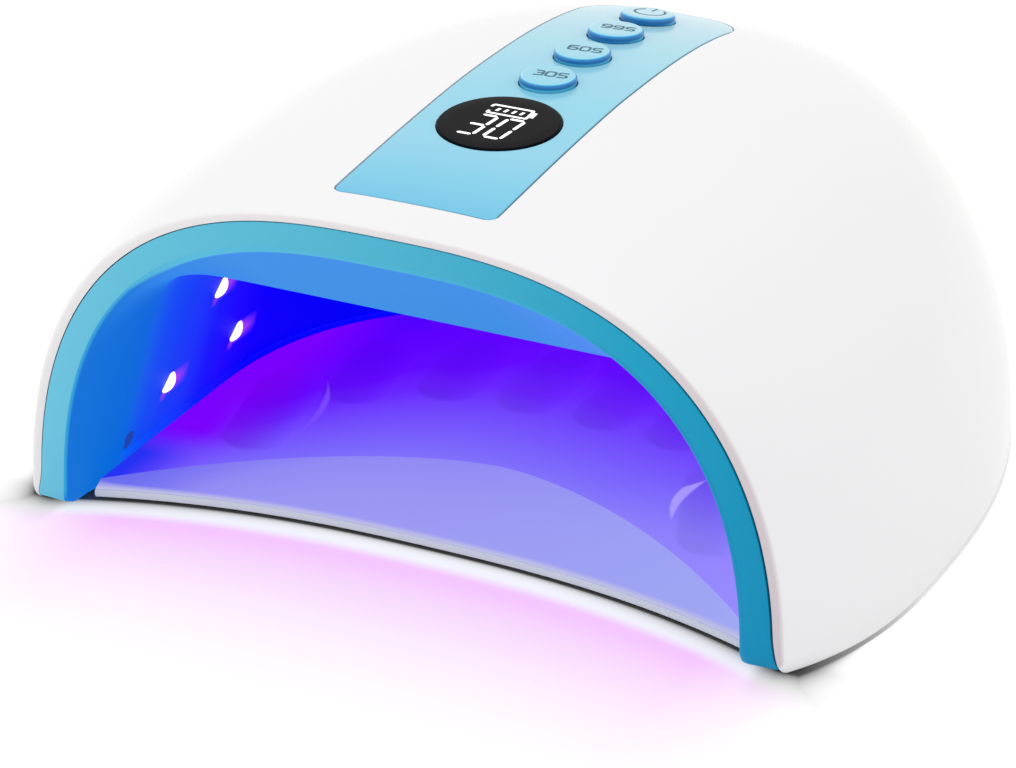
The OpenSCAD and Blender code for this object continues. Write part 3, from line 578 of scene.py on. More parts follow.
socket = {"holeD": 8.7, "height": 15.3, "reach": 10, "cut": 20}
shellWhite = shellPlastic()
dome = makeMesh("shell", [(0, 0, 0)], [], [shellWhite])
addTree(dome, domeTree(), {
    "Half Width": halfWidth, "Height": shell["height"], "Depth": shell["depth"],
    "Front Taper": shell["frontTaper"], "Front Drop": shell["frontDrop"], "Widest At": shell["widestAt"],
    "Highest At": shell["highestAt"], "Lift": shell["lift"], "Bow": shell["bow"], "Wall": shell["wall"],
    "Foot Curve": shell["footCurve"], "Material": shellWhite})
sealed(dome)
slotCutter = solid("slotCutter", slab(stripOutline(strip["gap"]), *strip["cut"]), shellWhite)
hole = lathe([(0, 0), (socket["holeD"] / 2, 0), (socket["holeD"] / 2, socket["cut"]), (0, socket["cut"])], 48)
backwards = Matrix.Rotation(-math.pi / 2, 4, "X")
place = Matrix.Translation((0, shell["depth"] - socket["reach"], socket["height"])) @ backwards
cutWith(dome, [slotCutter, solid("holeCutter", hole, shellWhite, place)])
finishPiece(dome, "lamp", ["top_shell"])
print("shell made")

# Bezel
bezel = {"band": 8.1, "flat": 0.7, "bandDepth": 5, "depth": 20, "wall": 2.2, "seam": 0.12,
         "leftShift": 0.3, "leftFrom": 60, "innerAcross": 2.85, "innerUp": 2.3, "foot": 0.3,
         "outerRoll": 0.3, "innerRoll": 1.9, "footRoll": 2.5, "sag": 0.04}
cavity = {"half": 88, "ceiling": 61.6, "depth": 152, "lean": 0.19, "straightTo": 70, "wall": 2, "foot": 5.6,
          "exp": 14, "roofExp": 8, "planExp": 2.3, "columns": 190, "rows": 70}


def bezelPlastic():
    # The band takes the room's light, paler on the left
    material, tree, shader = newMaterial("bezelBlue")
    across = objectPlace(tree)[0]
    colour = ramp(tree, across, -100, 100, [
        (-98, (112, 202, 228)), (-60, (98, 196, 222)), (0, (78, 184, 212)), (60, (24, 164, 200)),
        (88, (0, 152, 192)), (97, (0, 144, 188))])
    tree.links.new(colour, shader.inputs["Base Color"])
    tree.links.new((noise(tree, 40) * 0.06 + 0.4).socket, shader.inputs["Roughness"])
    shader.inputs["Specular IOR Level"].default_value = 0.2
    addGrain(tree, shader, 500, 0.006)
    return material


def wallLight(tree, d):
    # Blue of the lit side walls by depth, which the reveal, the liner and the frame share
    return ramp(tree, d, 0, 152, [
        (4, (10, 112, 212)), (15, (6, 106, 214)), (22, (6, 98, 222)), (30, (8, 76, 236)), (40, (10, 62, 240)),
        (50, (18, 50, 243)), (60, (10, 23, 245)), (70, (22, 8, 247)), (84, (2, 0, 247)), (150, (0, 0, 240))])


def revealPlastic():
    # Behind the band the beads light the plastic: a teal line first, then the walls' blue
    material, tree, shader = newMaterial("revealBlue")
    across, d, up = objectPlace(tree)
    nx, nz = surfaceNormal(tree)[::2]
    behind = d + shell["bow"] * (1 - (across / frontHalf) ** 2)
    line = ramp(tree, across, -100, 100, [
        (-84, (60, 172, 214)), (-50, (88, 186, 216)), (0, (76, 178, 208)),
        (40, (50, 166, 200)), (62, (24, 146, 188)), (84, (18, 138, 184))])
    soffit = ramp(tree, across, -100, 100, [
        (-76, (30, 128, 220)), (-40, (62, 144, 224)), (20, (54, 140, 222)),
        (44, (72, 136, 232)), (58, (108, 124, 248)), (76, (112, 118, 250))])
    under = ((nz * -1 - nx.size() * 0.6 + 0.1) * 1.6).clipped()
    lit = blendColours(tree, under, wallLight(tree, d), soffit)
    # The left leg turns blue at its very edge, the top and the right leg behind the round
    onLeft = ((across * -1 - 46) / 16).clipped() * ((82 - up) / 18).clipped()
    start = 1.1 - onLeft * 1.08
    colour = blendColours(tree, ((behind - start) / (1.8 - onLeft * 1.4)).clipped(), line, lit)
    return glowing(material, tree, shader, colour, linear(4, 14, 40), 0.5)


def lerp(a, b, k):
    return a + (b - a) * k


def makeBezel(materials):
    low = bezel["foot"]
    half = frontHalf - shell["rimWall"] - bezel["seam"]
    top = frontTop - shell["rimWall"] * shell["crownShare"] - bezel["seam"] - low
    outer = arch(half, top, shell["acrossExp"], shell["frontUpExp"])
    inner = arch(half - bezel["band"], top - bezel["band"], bezel["innerAcross"], bezel["innerUp"])
    innerBack = arch(half - bezel["band"] + bezel["wall"], top - bezel["band"] + bezel["wall"],
                     bezel["innerAcross"], bezel["innerUp"])
    rear = arch(cavity["half"], cavity["ceiling"] - low, cavity["exp"], cavity["exp"], cavity["lean"])
    rearBack = arch(cavity["half"] + bezel["wall"], cavity["ceiling"] + bezel["wall"] - low,
                    cavity["exp"], cavity["exp"], cavity["lean"])
    # The toes flare out at the foot, and the band's inner corner there is rounded
    flared = outer.copy()
    flared[:, 0] += np.sign(outer[:, 0]) * shell["toe"] * np.clip(
        1 - outer[:, 1] / shell["toeHeight"], 0, None) ** shell["toeExp"]
    corner = bezel["footRoll"]
    cornerLow = np.clip(corner - inner[:, 1], 0, None)
    inner[:, 0] += np.sign(inner[:, 0]) * (corner - np.sqrt(corner ** 2 - cornerLow ** 2))
    # On the left the seam closes, as it does in the photograph
    leftSide = np.clip(-outer[:, 0] / bezel["leftFrom"], 0, 1)
    for line in (outer, flared):
        line[:, 0] -= leftSide * bezel["leftShift"]
    roll = bezel["outerRoll"] * (1 - 0.7 * leftSide)
    share = (roll / bezel["band"])[:, None]
    loops = [(outer, bezel["bandDepth"]), (flared, roll)]
    loops += [(lerp(flared, inner, share * (1 - math.cos(a))), roll * (1 - math.sin(a)))
              for a in np.radians([22, 45, 67, 90])]
    flat, bend = bezel["flat"], bezel["innerRoll"]
    loops += [(lerp(flared, inner, k), 0.0) for k in (0.35, flat - 0.05)]
    firstLit = len(loops)
    loops += [(lerp(flared, inner, flat + (1 - flat) * math.sin(a)), bend * (1 - math.cos(a)))
              for a in np.radians([12, 25, 40, 58, 75, 90])]
    for k in np.linspace(0, 1, 13)[1:]:
        sag = bezel["sag"] * math.sin(math.pi * k)
        loops.append((lerp(inner, rear, k), bend + (bezel["depth"] - bend) * (sag + k)))
    lastLit = len(loops) - 2
    loops += [(rearBack, bezel["depth"]), (innerBack, bezel["bandDepth"])]
    rows = []
    for line, y in loops:
        x, z = line[:, 0], line[:, 1]
        back = footCurve(z) * (1 - y / bezel["depth"])
        rows.append(np.stack([x, y + bowAt(x) * (1 - y / bezel["depth"]) + back, z + low], 1))
    points = np.stack(rows, 1)
    count, around = points.shape[:2]
    faces = [list(f) for f in gridFaces(count, around, closed=True)]
    kinds = [1 if firstLit <= k % around <= lastLit else 0 for k in range(len(faces))] + [0, 0]
    faces += [list(range(around)), [(count - 1) * around + k for k in range(around)][::-1]]
    return sealed(makeMesh("bezel", points.reshape(-1, 3), faces, materials, kinds))


front = finishPiece(makeBezel([bezelPlastic(), revealPlastic()]), "lamp", ["front_bezel"])
print("bezel made")

# Control strip
window = {"diameter": 30, "at": 57.3, "proud": 0.3, "thickness": 2.0, "round": 0.35, "gap": 0.25}
button = {"diameter": 14.3, "gap": 0.15, "first": 84.1, "pitch": 19.6, "proud": 2.1,
          "flange": 1.0, "flangeThick": 1.2, "under": 0.3, "neck": 0.28, "round": 1.2}
buttonAt = [button["first"] + k * button["pitch"] for k in range(4)]


def stripBlueAndSheen(tree, d):
    # The strip's blue, with a painted sheen: darker at the front and paler towards the back
    return ramp(tree, d, 0, 165, [
        (12, (96, 192, 228)), (20, (109, 199, 231)), (45, (138, 209, 233)), (78, (140, 211, 233)),
        (115, (158, 216, 232)), (150, (178, 219, 232))])


def stripPlastic():
    material, tree, shader = newMaterial("stripBlue")
    across, d = objectPlace(tree)[:2]
    # A darker line is painted along the strip's edges: painted shade at the gap, darker on the right
    line = ramp(tree, across, -25, 25, [(-20, (90, 164, 192)), (20, (60, 124, 150))])
    edgeShade = (across.size() - strip["half"] + 0.4).atLeast(strip["front"] + 0.4 - d)
    edgeShade = (edgeShade * 4).clipped()
    tree.links.new(blendColours(tree, edgeShade, stripBlueAndSheen(tree, d), line), shader.inputs["Base Color"])
    tree.links.new((noise(tree, 30) * 0.06 + 0.14).socket, shader.inputs["Roughness"])
    addGrain(tree, shader, 300, 0.003)
    return material


def crowdedSpan(low, high, edge, count):
    # Steps from low to high that crowd at both ends, where the edge is rounded
    rounding = edge * (1 - np.cos(np.linspace(0, np.pi / 2, 6)))
    middle = np.linspace(low + edge, high - edge, count)
    return np.concatenate([low + rounding[:-1], middle, high - rounding[:-1][::-1]])


def makeStrip(material):
    low, high, half, edge = strip["front"], strip["back"], strip["half"], strip["edge"]
    near, far = strip["frontCorner"], strip["backCorner"]
    bends = 1 - np.cos(np.linspace(0.1, 1.5, 12))
    along = crowdedSpan(low, high, edge, strip["rows"])
    along = np.unique(np.concatenate([along, low + near * bends, high - far * bends]).round(4))
    shares = crowdedSpan(-half, half, edge, strip["columns"]) / half
    inFront = np.clip(near - (along - low), 0, near)
    inBack = np.clip(far - (high - along), 0, far)
    drawnIn = near - np.sqrt(near ** 2 - inFront ** 2) + far - np.sqrt(far ** 2 - inBack ** 2)
    x = shares[None, :] * (half - drawnIn)[:, None]
    d = np.repeat(along[:, None], len(shares), 1)
    # Distance from the rounded outline, for the rounded edge
    corner = np.where(d < (low + high) / 2, near, far)
    qx, qy = np.abs(x) - half + corner, np.abs(d - (low + high) / 2) - (high - low) / 2 + corner
    inside = corner - np.hypot(np.clip(qx, 0, None), np.clip(qy, 0, None)) - np.minimum(np.maximum(qx, qy), 0)
    drop = edge - np.sqrt(np.clip(edge ** 2 - np.clip(edge - inside, 0, edge) ** 2, 0, None))
    z = skinZ(x, d)
    top = np.stack([x, d, z - drop], -1).reshape(-1, 3)
    under = np.stack([x, d, z - strip["thickness"]], -1).reshape(-1, 3)
    rows, columns = x.shape
    faces = [list(f) for f in gridFaces(rows, columns)]
    faces += [list(f)[::-1] for f in gridFaces(rows, columns, rows * columns)]
    ring = [(0, j) for j in range(columns)] + [(i, columns - 1) for i in range(1, rows)]
    ring += [(rows - 1, j) for j in range(columns - 2, -1, -1)] + [(i, 0) for i in range(rows - 2, 0, -1)]
    ids = [i * columns + j for i, j in ring]
    for a, b in zip(ids, ids[1:] + ids[:1]):
        faces.append([a, a + rows * columns, b + rows * columns, b])
    piece = sealed(makeMesh("controlStrip", np.concatenate([top, under]), faces, [material]))
    cutters = []
    for k, (at, radius) in enumerate([(window["at"], window["diameter"] / 2 + window["gap"])]
                                     + [(d, button["diameter"] / 2 + button["gap"]) for d in buttonAt]):
        # The cut is wider at its top, for a small bevel
        wide, reach = radius + strip["bevel"], 9
        body = lathe([(0, -reach), (radius, -reach), (radius, -0.2), (radius + 0.05, -0.1),
                      (wide, strip["bevel"]), (wide, reach), (0, reach)], 96)
        cutters.append(solid("stripCutter%d" % k, body, material, onSkin(at)))
    return cutWith(piece, cutters)


finishPiece(makeStrip(stripPlastic()), "lamp", ["control_strip"])
print("strip made")


# Prints: thin closed shapes that lie on a surface
def ribbon(path, width, closed=False):
    # A flat stroke along a path in plan
    path = np.asarray(path, float)
    ahead, behind = np.roll(path, -1, 0), np.roll(path, 1, 0)
    if not closed:
        ahead[-1], behind[0] = path[-1], path[0]
    along = ahead - behind
    along /= np.linalg.norm(along, axis=1)[:, None]
    aside = np.stack([-along[:, 1], along[:, 0]], 1) * width / 2
    return path + aside, path - aside


def strokeSolid(path, width, low, high, closed=False):
    left, right = ribbon(path, width, closed)
    n = len(left)
    points = np.concatenate([np.c_[side, np.full(n, z)] for z in (low, high) for side in (left, right)])
    faces, last = [], n if closed else n - 1
    for k in range(last):
        j = (k + 1) % n
        faces += [[2 * n + k, 2 * n + j, 3 * n + j, 3 * n + k], [k, n + k, n + j, j],
                  [k, j, 2 * n + j, 2 * n + k], [n + k, 3 * n + k, 3 * n + j, n + j]]
    if not closed:
        faces += [[0, 2 * n, 3 * n, n], [n - 1, 2 * n - 1, 4 * n - 1, 3 * n - 1]]
    return points, faces


def rounded(path, reach, closed=False):
    # A path whose corners are bent in short curves
    path = [np.array(p, float) for p in path]
    n, bent = len(path), []
    for k, corner in enumerate(path):
        if not closed and k in (0, n - 1):
            bent.append(corner)
            continue
        before, after = path[k - 1] - corner, path[(k + 1) % n] - corner
        start = corner + before / np.linalg.norm(before) * reach
        end = corner + after / np.linalg.norm(after) * reach
        for t in np.linspace(0, 1, 5):
            bent.append(start * (1 - t) ** 2 + corner * 2 * t * (1 - t) + end * t ** 2)
    return np.array(bent)


sign = {"wide": 2.3, "tall": 2.9, "gap": 0.8, "stroke": 0.62, "bend": 0.8, "aside": 0.6, "up": 0.4, "turn": 6}
glyphs = {
    "0": [([(0, 0), (1, 0), (1, 1), (0, 1)], True)],
    "3": [([(0.05, 1), (1, 1), (1, 0), (0, 0)], False), ([(0.3, 0.52), (0.95, 0.52)], False)],
    "6": [([(1, 1), (0, 1), (0, 0), (1, 0), (1, 0.56), (0.05, 0.56)], False)],
    "9": [([(0, 0), (1, 0), (1, 1), (0, 1), (0, 0.44), (0.95, 0.44)], False)],
    "S": [([(1, 1), (0, 1), (0, 0.5), (1, 0.5), (1, 0), (0, 0)], False)],
}


def wordSolid(word, low, high):
    # Plain characters drawn with rounded strokes, centred, with their up along +Y
    step = sign["wide"] + sign["gap"]
    parts = []
    for k, character in enumerate(word):
        left = (k - (len(word) - 1) / 2) * step - sign["wide"] / 2
        for corners, closed in glyphs[character]:
            line = []
            for x, y in corners:
                up = (y - 0.5) * sign["tall"]
                line.append((left + x * sign["wide"] + sign["aside"], up + sign["up"]))
            path = rounded(line, sign["bend"], closed)
            parts.append(strokeSolid(path, sign["stroke"], low, high, closed))
    points, faces = joined(parts)
    return moved(points, Matrix.Rotation(math.radians(sign["turn"]), 4, "Z")), faces


# Buttons: a cap on each key, with its print
def keycapPlastic():
    # The top matches the strip; the sides are coloured by their slope, with deep blue painted shade on the
    # front of each cap, a pale painted highlight on its lip and pale cyan painted light at its foot
    material, tree, shader = newMaterial("keycapBlue")
    d = objectPlace(tree)[1]
    nz = surfaceNormal(tree)[2]
    side = ramp(tree, nz, -0.2, 1, [
        (-0.15, (96, 200, 232)), (-0.07, (30, 130, 194)), (0, (0, 104, 168)), (0.4, (0, 116, 184)),
        (0.62, (22, 140, 212)), (0.78, (80, 186, 232)), (0.88, (160, 228, 246))])
    top = ((nz - 0.9) / 0.07).clipped()
    tree.links.new(blendColours(tree, top, side, stripBlueAndSheen(tree, d)), shader.inputs["Base Color"])
    tree.links.new((noise(tree, 30) * 0.06 + 0.18).socket, shader.inputs["Roughness"])
    addGrain(tree, shader, 400, 0.003)
    return material


power = {"centre": (0.3, 0.5), "radii": (3.95, 3.9), "from": 128, "to": 412, "bar": (1.8, 3, 5.2),
         "stroke": 0.6}


def powerSign(low, high):
    # A ring that is open at its top, where a bar stands
    turn = np.radians(np.linspace(power["from"], power["to"], 40))
    ring = np.stack([np.cos(turn), np.sin(turn)], 1) * power["radii"] + power["centre"]
    bar = [(power["centre"][0], y) for y in power["bar"]]
    return joined([strokeSolid(path, power["stroke"], low, high) for path in (ring, bar)])


def makeCap():
    # A flange under the strip, a foot that widens upwards, and a level top with a broad round
    r, top, bend = button["diameter"] / 2, button["proud"], button["round"]
    flange, low = r + button["flange"], -strip["thickness"] - button["under"]
    foot, neck = low - button["flangeThick"], r - button["neck"]
    profile = [(0, foot), (flange, foot), (flange, low), (neck, low), (neck, -1)]
    profile += [(r - 0.14, -0.12), (r - 0.06, 0.38)]
    profile += quarter(r - bend, top - bend, bend, 0, 90, 12)
    profile += [(r - 2, top), (r - 4, top), (0, top)]
    return lathe(profile, 96)


keycap = keycapPlastic()
inkBlue = plastic("printInk", (44, 98, 122), 0.5, shade=0.1)
printLow, printHigh = button["proud"] - 0.1, button["proud"] + 0.03
for (key, words), d in zip([("30", "30S"), ("60", "60S"), ("99", "99S"), ("power", None)], buttonAt):
    piece = solid("cap_" + key, makeCap(), keycap, onSkin(d))
    finishPiece(piece, "key_" + key, ["button_" + key])
    signs = wordSolid(words, printLow, printHigh) if words else powerSign(printLow, printHigh)
    ink = solid("print_" + key, signs, inkBlue, onSkin(d))
    finishPiece(ink, "key_" + key, degrees=20)
print("buttons made")


# Display
def smokedLens():
    material, tree, shader = newMaterial("smokedLens")
    across, d = objectPlace(tree)[:2]
    radial = ((across * across + (d - window["at"]) ** 2) ** 0.5) / (window["diameter"] / 2)
    atRim = ((radial - 0.955) * 40).clipped()
    face = blendColours(tree, noise(tree, 60), linear(24, 22, 24), linear(30, 28, 30))
    tree.links.new(blendColours(tree, atRim, face, linear(8, 14, 22)), shader.inputs["Base Color"])
    tree.links.new((noise(tree, 60) * 0.03 + 0.12).socket, shader.inputs["Roughness"])
    shader.inputs["Specular IOR Level"].default_value = 0.02
    return material


def whiteGlow(name, colour, strength):
    material, tree, shader = newMaterial(name)
    drift = noise(tree, 200)
    tree.links.new(blendColours(tree, drift, linear(*colour), linear(*[min(255, c + 4) for c in colour])),
                   shader.inputs["Emission Color"])
    shader.inputs["Emission Strength"].default_value = strength
    shader.inputs["Base Color"].default_value = (0.6, 0.6, 0.6, 1)
    return material


digit = {"width": 4.4, "height": 11.1, "stroke": 0.88, "gap": 0.3, "slant": 0.14, "foot": 48.8,
         "left": (-6.6, 0.5)}
battery = {"left": -5.4, "right": 5.0, "low": 4.1, "high": 8.7, "stroke": 0.7, "nub": 1.4, "nubIn": 0.9,
           "dash": 0.75, "pitch": 2.1, "slant": 0.3}
segments = {"a": ((0, 2), (1, 2)), "b": ((1, 2), (1, 1)), "c": ((1, 1), (1, 0)), "d": ((0, 0), (1, 0)),
            "e": ((0, 0), (0, 1)), "f": ((0, 1), (0, 2)), "g": ((0, 1), (1, 1))}


def segmentBar(start, end, low, high):
    # A bar with pointed ends between two corners of a digit
    scale = np.array([digit["width"], digit["height"] / 2])
    a, b = np.array(start) * scale, np.array(end) * scale
    along = (b - a) / np.linalg.norm(b - a)
    aside = np.array([-along[1], along[0]]) * digit["stroke"] / 2
    a, b = a + along * digit["gap"], b - along * digit["gap"]
    tip = along * digit["stroke"] / 2
    outline = [a, a + tip - aside, b - tip - aside, b, b - tip + aside, a + tip + aside]
    outline = [(p[0] + (p[1] - digit["height"] / 2) * digit["slant"], p[1]) for p in outline]
    return slab(outline, low, high)


def displaySigns(low, high):
    parts = []
    for x, lit in zip(digit["left"], ("abgcd", "abcdef")):
        for name in lit:
            points, faces = segmentBar(*segments[name], low, high)
            parts.append((points + (x, digit["foot"] - window["at"], 0), faces))
    # A battery drawn as a broken outline, with a nub and four dashes
    left, right, bottom, top = (battery[k] for k in ("left", "right", "low", "high"))
    outline = [(left - 0.3, top - 1.2), (left, top), (right, top), (right, bottom), (left, bottom),
               (left + 0.2, bottom + 1.2)]
    parts.append(strokeSolid(rounded(outline, 0.4), battery["stroke"], low, high))
    end, foot, head = right + battery["nub"], bottom + battery["nubIn"], top - battery["nubIn"]
    parts.append(slab([(right, foot), (end, foot), (end, head), (right, head)], low, high))
    foot, head, lean = bottom + 1.5, top - 1.6, battery["slant"]
    for k in range(4):
        start = left + 1.5 + k * battery["pitch"]
        end = start + battery["dash"]
        parts.append(slab([(start, foot), (end, foot), (end + lean, head), (start + lean, head)], low, high))
    return joined(parts)


def makeLens():
    top, radius, bend = window["proud"], window["diameter"] / 2, window["round"]
    profile = [(0, top - window["thickness"]), (radius, top - window["thickness"])]
    profile += quarter(radius - bend, top - bend, bend, 0, 90, 6) + [(radius - 4, top), (0, top)]
    return solid("displayLens", lathe(profile, 128), smokedLens(), onSkin(window["at"]))


finishPiece(makeLens(), "lamp", ["display_window"])
signs = displaySigns(window["proud"] - 0.05, window["proud"] + 0.05)
displayLight = whiteGlow("displayLight", (250, 250, 250), 1.0)
signPiece = solid("displaySigns", signs, displayLight, onSkin(window["at"]))
finishPiece(signPiece, "lamp", degrees=20)
print("display made")


# Liner of the hand cavity
def linerHalf(d):
    past = np.clip((d - cavity["straightTo"]) / (cavity["depth"] - cavity["straightTo"]), 0, 1)
    return cavity["half"] * (1 - past ** cavity["planExp"]) ** (1 / cavity["planExp"])


def linerTop(d):
    past = np.clip((d - cavity["straightTo"]) / (cavity["depth"] - cavity["straightTo"]), 0, 1)
    return (cavity["ceiling"] - cavity["foot"]) * (1 - past ** cavity["roofExp"]) ** (1 / cavity["roofExp"])


def wallX(z):
    return cavity["half"] * (1 - cavity["lean"] * (z - cavity["foot"]) / (cavity["ceiling"] - cavity["foot"]))


leanAngle = math.atan(cavity["lean"] * cavity["half"] / (cavity["ceiling"] - cavity["foot"]))


def onWall(side, d, z):
    # A frame on the side wall whose z axis points out of the cavity
    place = Matrix.Translation((wallX(z), d, z)) @ Matrix.Rotation(math.pi / 2 - leanAngle, 4, "Y")
    return Matrix.Scale(side, 4, (1, 0, 0)) @ place


sideBeads = [(40.5, 18.5), (57.5, 39), (74.5, 18.5)]
roofBeads = [(x, d) for x in (-34, 0, 34) for d in (48, 78, 108)]
backBeads = [(-26, 18.5), (0, 18.5), (26, 18.5)]
bead = {"diameter": 5.9, "chord": 1.9, "tilt": 29, "gap": 0.2, "height": 3.5, "face": 2.3, "cap": 1.3}
sensor = {"at": 24.5, "height": 9, "diameter": 4.6, "gap": 0.3, "fade": 2.7}


def sensorShade(d, up):
    radial = ((d - sensor["at"]) ** 2 + (up - sensor["height"]) ** 2) ** 0.5
    return ((sensor["fade"] - radial) / 1.1).clipped()


def flare(d, up):
    # Magenta light on the wall beside each bead: a long streak behind it, a short one below
    total = None
    for at, high in sideBeads:
        u, v = d - at, up - high
        back = (1 - (v + 0.4).size() / 3.6).atLeast(0) * ((u + 1) / 2).clipped()
        back = back * (1 - u / 9.5).atLeast(0)
        below = (1 - (u + 1.8).size() / 1.8).atLeast(0) * (1 - (v + 3).size() / 2).atLeast(0) * 0.8
        part = (back * 1.8).atMost(0.9).atLeast(below)
        total = part if total is None else total.atLeast(part)
    return total.atMost(1)


def linerPlastic(name, inWell=False):
    material, tree, shader = newMaterial(name)
    across, d, up = objectPlace(tree)
    if inWell:
        colour = ramp(tree, d, 20, 152, [
            (20, (20, 56, 150)), (30, (24, 60, 160)), (34, (150, 60, 240)), (80, (176, 70, 245)),
            (150, (120, 20, 250))])
        return glowing(material, tree, shader, colour, linear(6, 30, 120))
    side = ((surfaceNormal(tree)[0].size() - 0.6) * 4).clipped()
    wall = blendColours(tree, flare(d, up) * side, wallLight(tree, d), linear(168, 62, 242))
    colour = blendColours(tree, sensorShade(d, up) * side, wall, linear(26, 58, 152))
    # The back wall's painted glow takes the tray's violet, away from the side beads
    violet = ((across.size() * -1 + 62) / 18).clipped() * ((d - 100) / 30).clipped()
    colour = blendColours(tree, violet, colour, linear(84, 0, 250))
    return glowing(material, tree, shader, colour, linear(2, 10, 50))


def chordCut(points, ahead, chord):
    # Flattens one side of a turned shape, so that it looks like a letter D in plan
    points = np.array(points, float)
    short = np.clip(-chord - points[:, 0] * ahead[0] - points[:, 1] * ahead[1], 0, None)
    points[:, 0] += ahead[0] * short
    points[:, 1] += ahead[1] * short
    return points


def makeLiner(materials):
    start = bezel["depth"] + 0.2
    rows = start + (cavity["depth"] - start) * np.sin(np.linspace(0, np.pi / 2, cavity["rows"]))
    skins = []
    for grow in (0, cavity["wall"]):
        loops = []
        for d in rows[:-1]:
            line = arch(float(linerHalf(d)), float(linerTop(d)), cavity["exp"], cavity["exp"], cavity["lean"],
                        cavity["columns"])
            tall = cavity["ceiling"] - cavity["foot"]
            y = bezel["depth"] + (d - bezel["depth"]) * (1 + grow / (cavity["depth"] - bezel["depth"]))
            loops.append(np.stack([line[:, 0] * (1 + grow / cavity["half"]), np.full(len(line), y),
                                   cavity["foot"] + line[:, 1] * (1 + grow / tall)], 1))
        loops.append(np.repeat([[0, cavity["depth"] + grow, cavity["foot"]]], cavity["columns"] + 1, 0))
        skins.append(np.concatenate(loops))
    count, columns = len(rows), cavity["columns"] + 1
    total = count * columns
    faces = [list(f) for f in gridFaces(count, columns)]
    faces += [list(f)[::-1] for f in gridFaces(count, columns, total)]
    ring = [j for j in range(columns)] + [i * columns + columns - 1 for i in range(1, count)]
    ring += [i * columns for i in range(count - 1, 0, -1)]
    for a, b in zip(ring, ring[1:] + ring[:1]):
        faces.append([a, a + total, b + total, b])
    kinds = [0 if k < (count - 1) * (columns - 1) else 1 for k in range(len(faces))]
    piece = sealed(makeMesh("liner", np.concatenate(skins), faces, materials[:2], kinds))
    cutters = []

    def drill(matrix, diameter, ahead=None):
        points, faces = lathe([(0, -5), (diameter / 2, -5), (diameter / 2, 5), (0, 5)], 40)
        if ahead is not None:
            points = chordCut(points, ahead, bead["chord"] + bead["gap"])
        cutters.append(solid("drill%d" % len(cutters), (points, faces), materials[2], matrix))

    hole, tilt = bead["diameter"] + 2 * bead["gap"], math.radians(bead["tilt"])
    for side in (-1, 1):
        for d, z in sideBeads:
            drill(onWall(side, d, z), hole, (math.sin(tilt), math.cos(tilt)))
        drill(onWall(side, sensor["at"], sensor["height"]), sensor["diameter"] + sensor["gap"])
    for x, d in roofBeads:
        drill(Matrix.Translation((x, d, cavity["ceiling"])), hole, (0, 1))
    for x, z in backBeads:
        drill(Matrix.Translation((x, cavity["depth"] - 1, z)) @ backwards, hole, (1, 0))
    return cutWith(piece, cutters)


linerMaterials = [linerPlastic("linerBlue"), plastic("linerBack", (226, 226, 230), 0.5),
                  linerPlastic("wellGlow", True)]
finishPiece(makeLiner(linerMaterials), "lamp", ["inner_liner"])
print("liner made")

# Beads
def beadShape():
    r, high = bead["diameter"] / 2, bead["height"]
    capRadius = (r * r + bead["cap"] ** 2) / (2 * bead["cap"])
    low = high - bead["cap"]
    dome = [(capRadius * math.sin(a), high - capRadius + capRadius * math.cos(a))
            for a in np.linspace(math.asin(r / capRadius), 0, 9)]
    points, faces = lathe([(0, 0), (r, 0), (r, low * 0.7)] + dome, 32)
    return chordCut(points, (1, 0), bead["chord"]), faces


places, facings, aheads = [], [], []
for side in (-1, 1):
    for d, z in sideBeads:
        matrix = onWall(side, d, z)
        places.append(matrix @ Vector((0, 0, bead["face"])))
        facings.append(-(matrix.to_3x3() @ Vector((0, 0, 1))))
        aheads.append((0, math.cos(math.radians(bead["tilt"])), -math.sin(math.radians(bead["tilt"]))))
for x, d in roofBeads:
    places.append((x, d, cavity["ceiling"] + bead["face"]))
    facings.append((0, 0, -1))
    aheads.append((0, 1, 0))
for x, z in backBeads:
    places.append((x, cavity["depth"] + bead["face"], z))
    facings.append((0, -1, 0))
    aheads.append((1, 0, 0))
beadLight = whiteGlow("beadLight", (255, 240, 255), 1.6)
beads = scattered("beads", beadShape(), places, facings, beadLight, aheads)
finishPiece(beads, "lamp", ["lamp_beads"])
print("beads made")

# Base tray
tray = {"half": 86.7, "front": 4, "curve": 16.7, "curveExp": 2.46, "edgeZ": 3, "floorZ": 4.6, "lowZ": 0.9,
        "flange": 9, "flangeTop": 3.1, "rampMin": 2, "rampAt": 60, "rampExp": 1.55, "clear": 1.3,
        "lip": 2.6, "nose": 0.35, "noseDrop": 0.5}
rest = {"width": 18, "depth": 1.8, "pitch": 21.6, "at": 98, "arc": 0.6, "arcExp": 3.5, "fan": -3,
        "length": 24, "thumbs": [(-64, 49, 12, 32), (61.5, 48.5, 20, 32)], "endRound": 3}
bezelHalf = frontHalf - shell["wall"] - 0.4


def trayEdge(x):
    return tray["front"] + tray["curve"] * (1 - (np.abs(x) / bezelHalf) ** tray["curveExp"])


def rampEdge(x):
    longest = tray["rampAt"] - tray["front"] - tray["curve"] - tray["rampMin"]
    return trayEdge(x) + tray["rampMin"] + longest * (1 - (np.abs(x) / cavity["half"]) ** tray["rampExp"])


def trayBack(x):
    reach = np.clip(1 - (np.abs(x) / tray["half"]) ** cavity["planExp"], 0, None) ** (1 / cavity["planExp"])
    return cavity["straightTo"] + (cavity["depth"] - cavity["straightTo"] - tray["clear"]) * reach


# A hollow is its middle across and along, its turn in degrees and its length: six fingers, two thumbs
hollows = [(k * rest["pitch"], rest["at"] - rest["arc"] * abs(k) ** rest["arcExp"], rest["fan"] * k,
            rest["length"]) for k in np.arange(-2.5, 3)] + rest["thumbs"]
hollowRadius = (rest["width"] ** 2 / 4 + rest["depth"] ** 2) / (2 * rest["depth"])


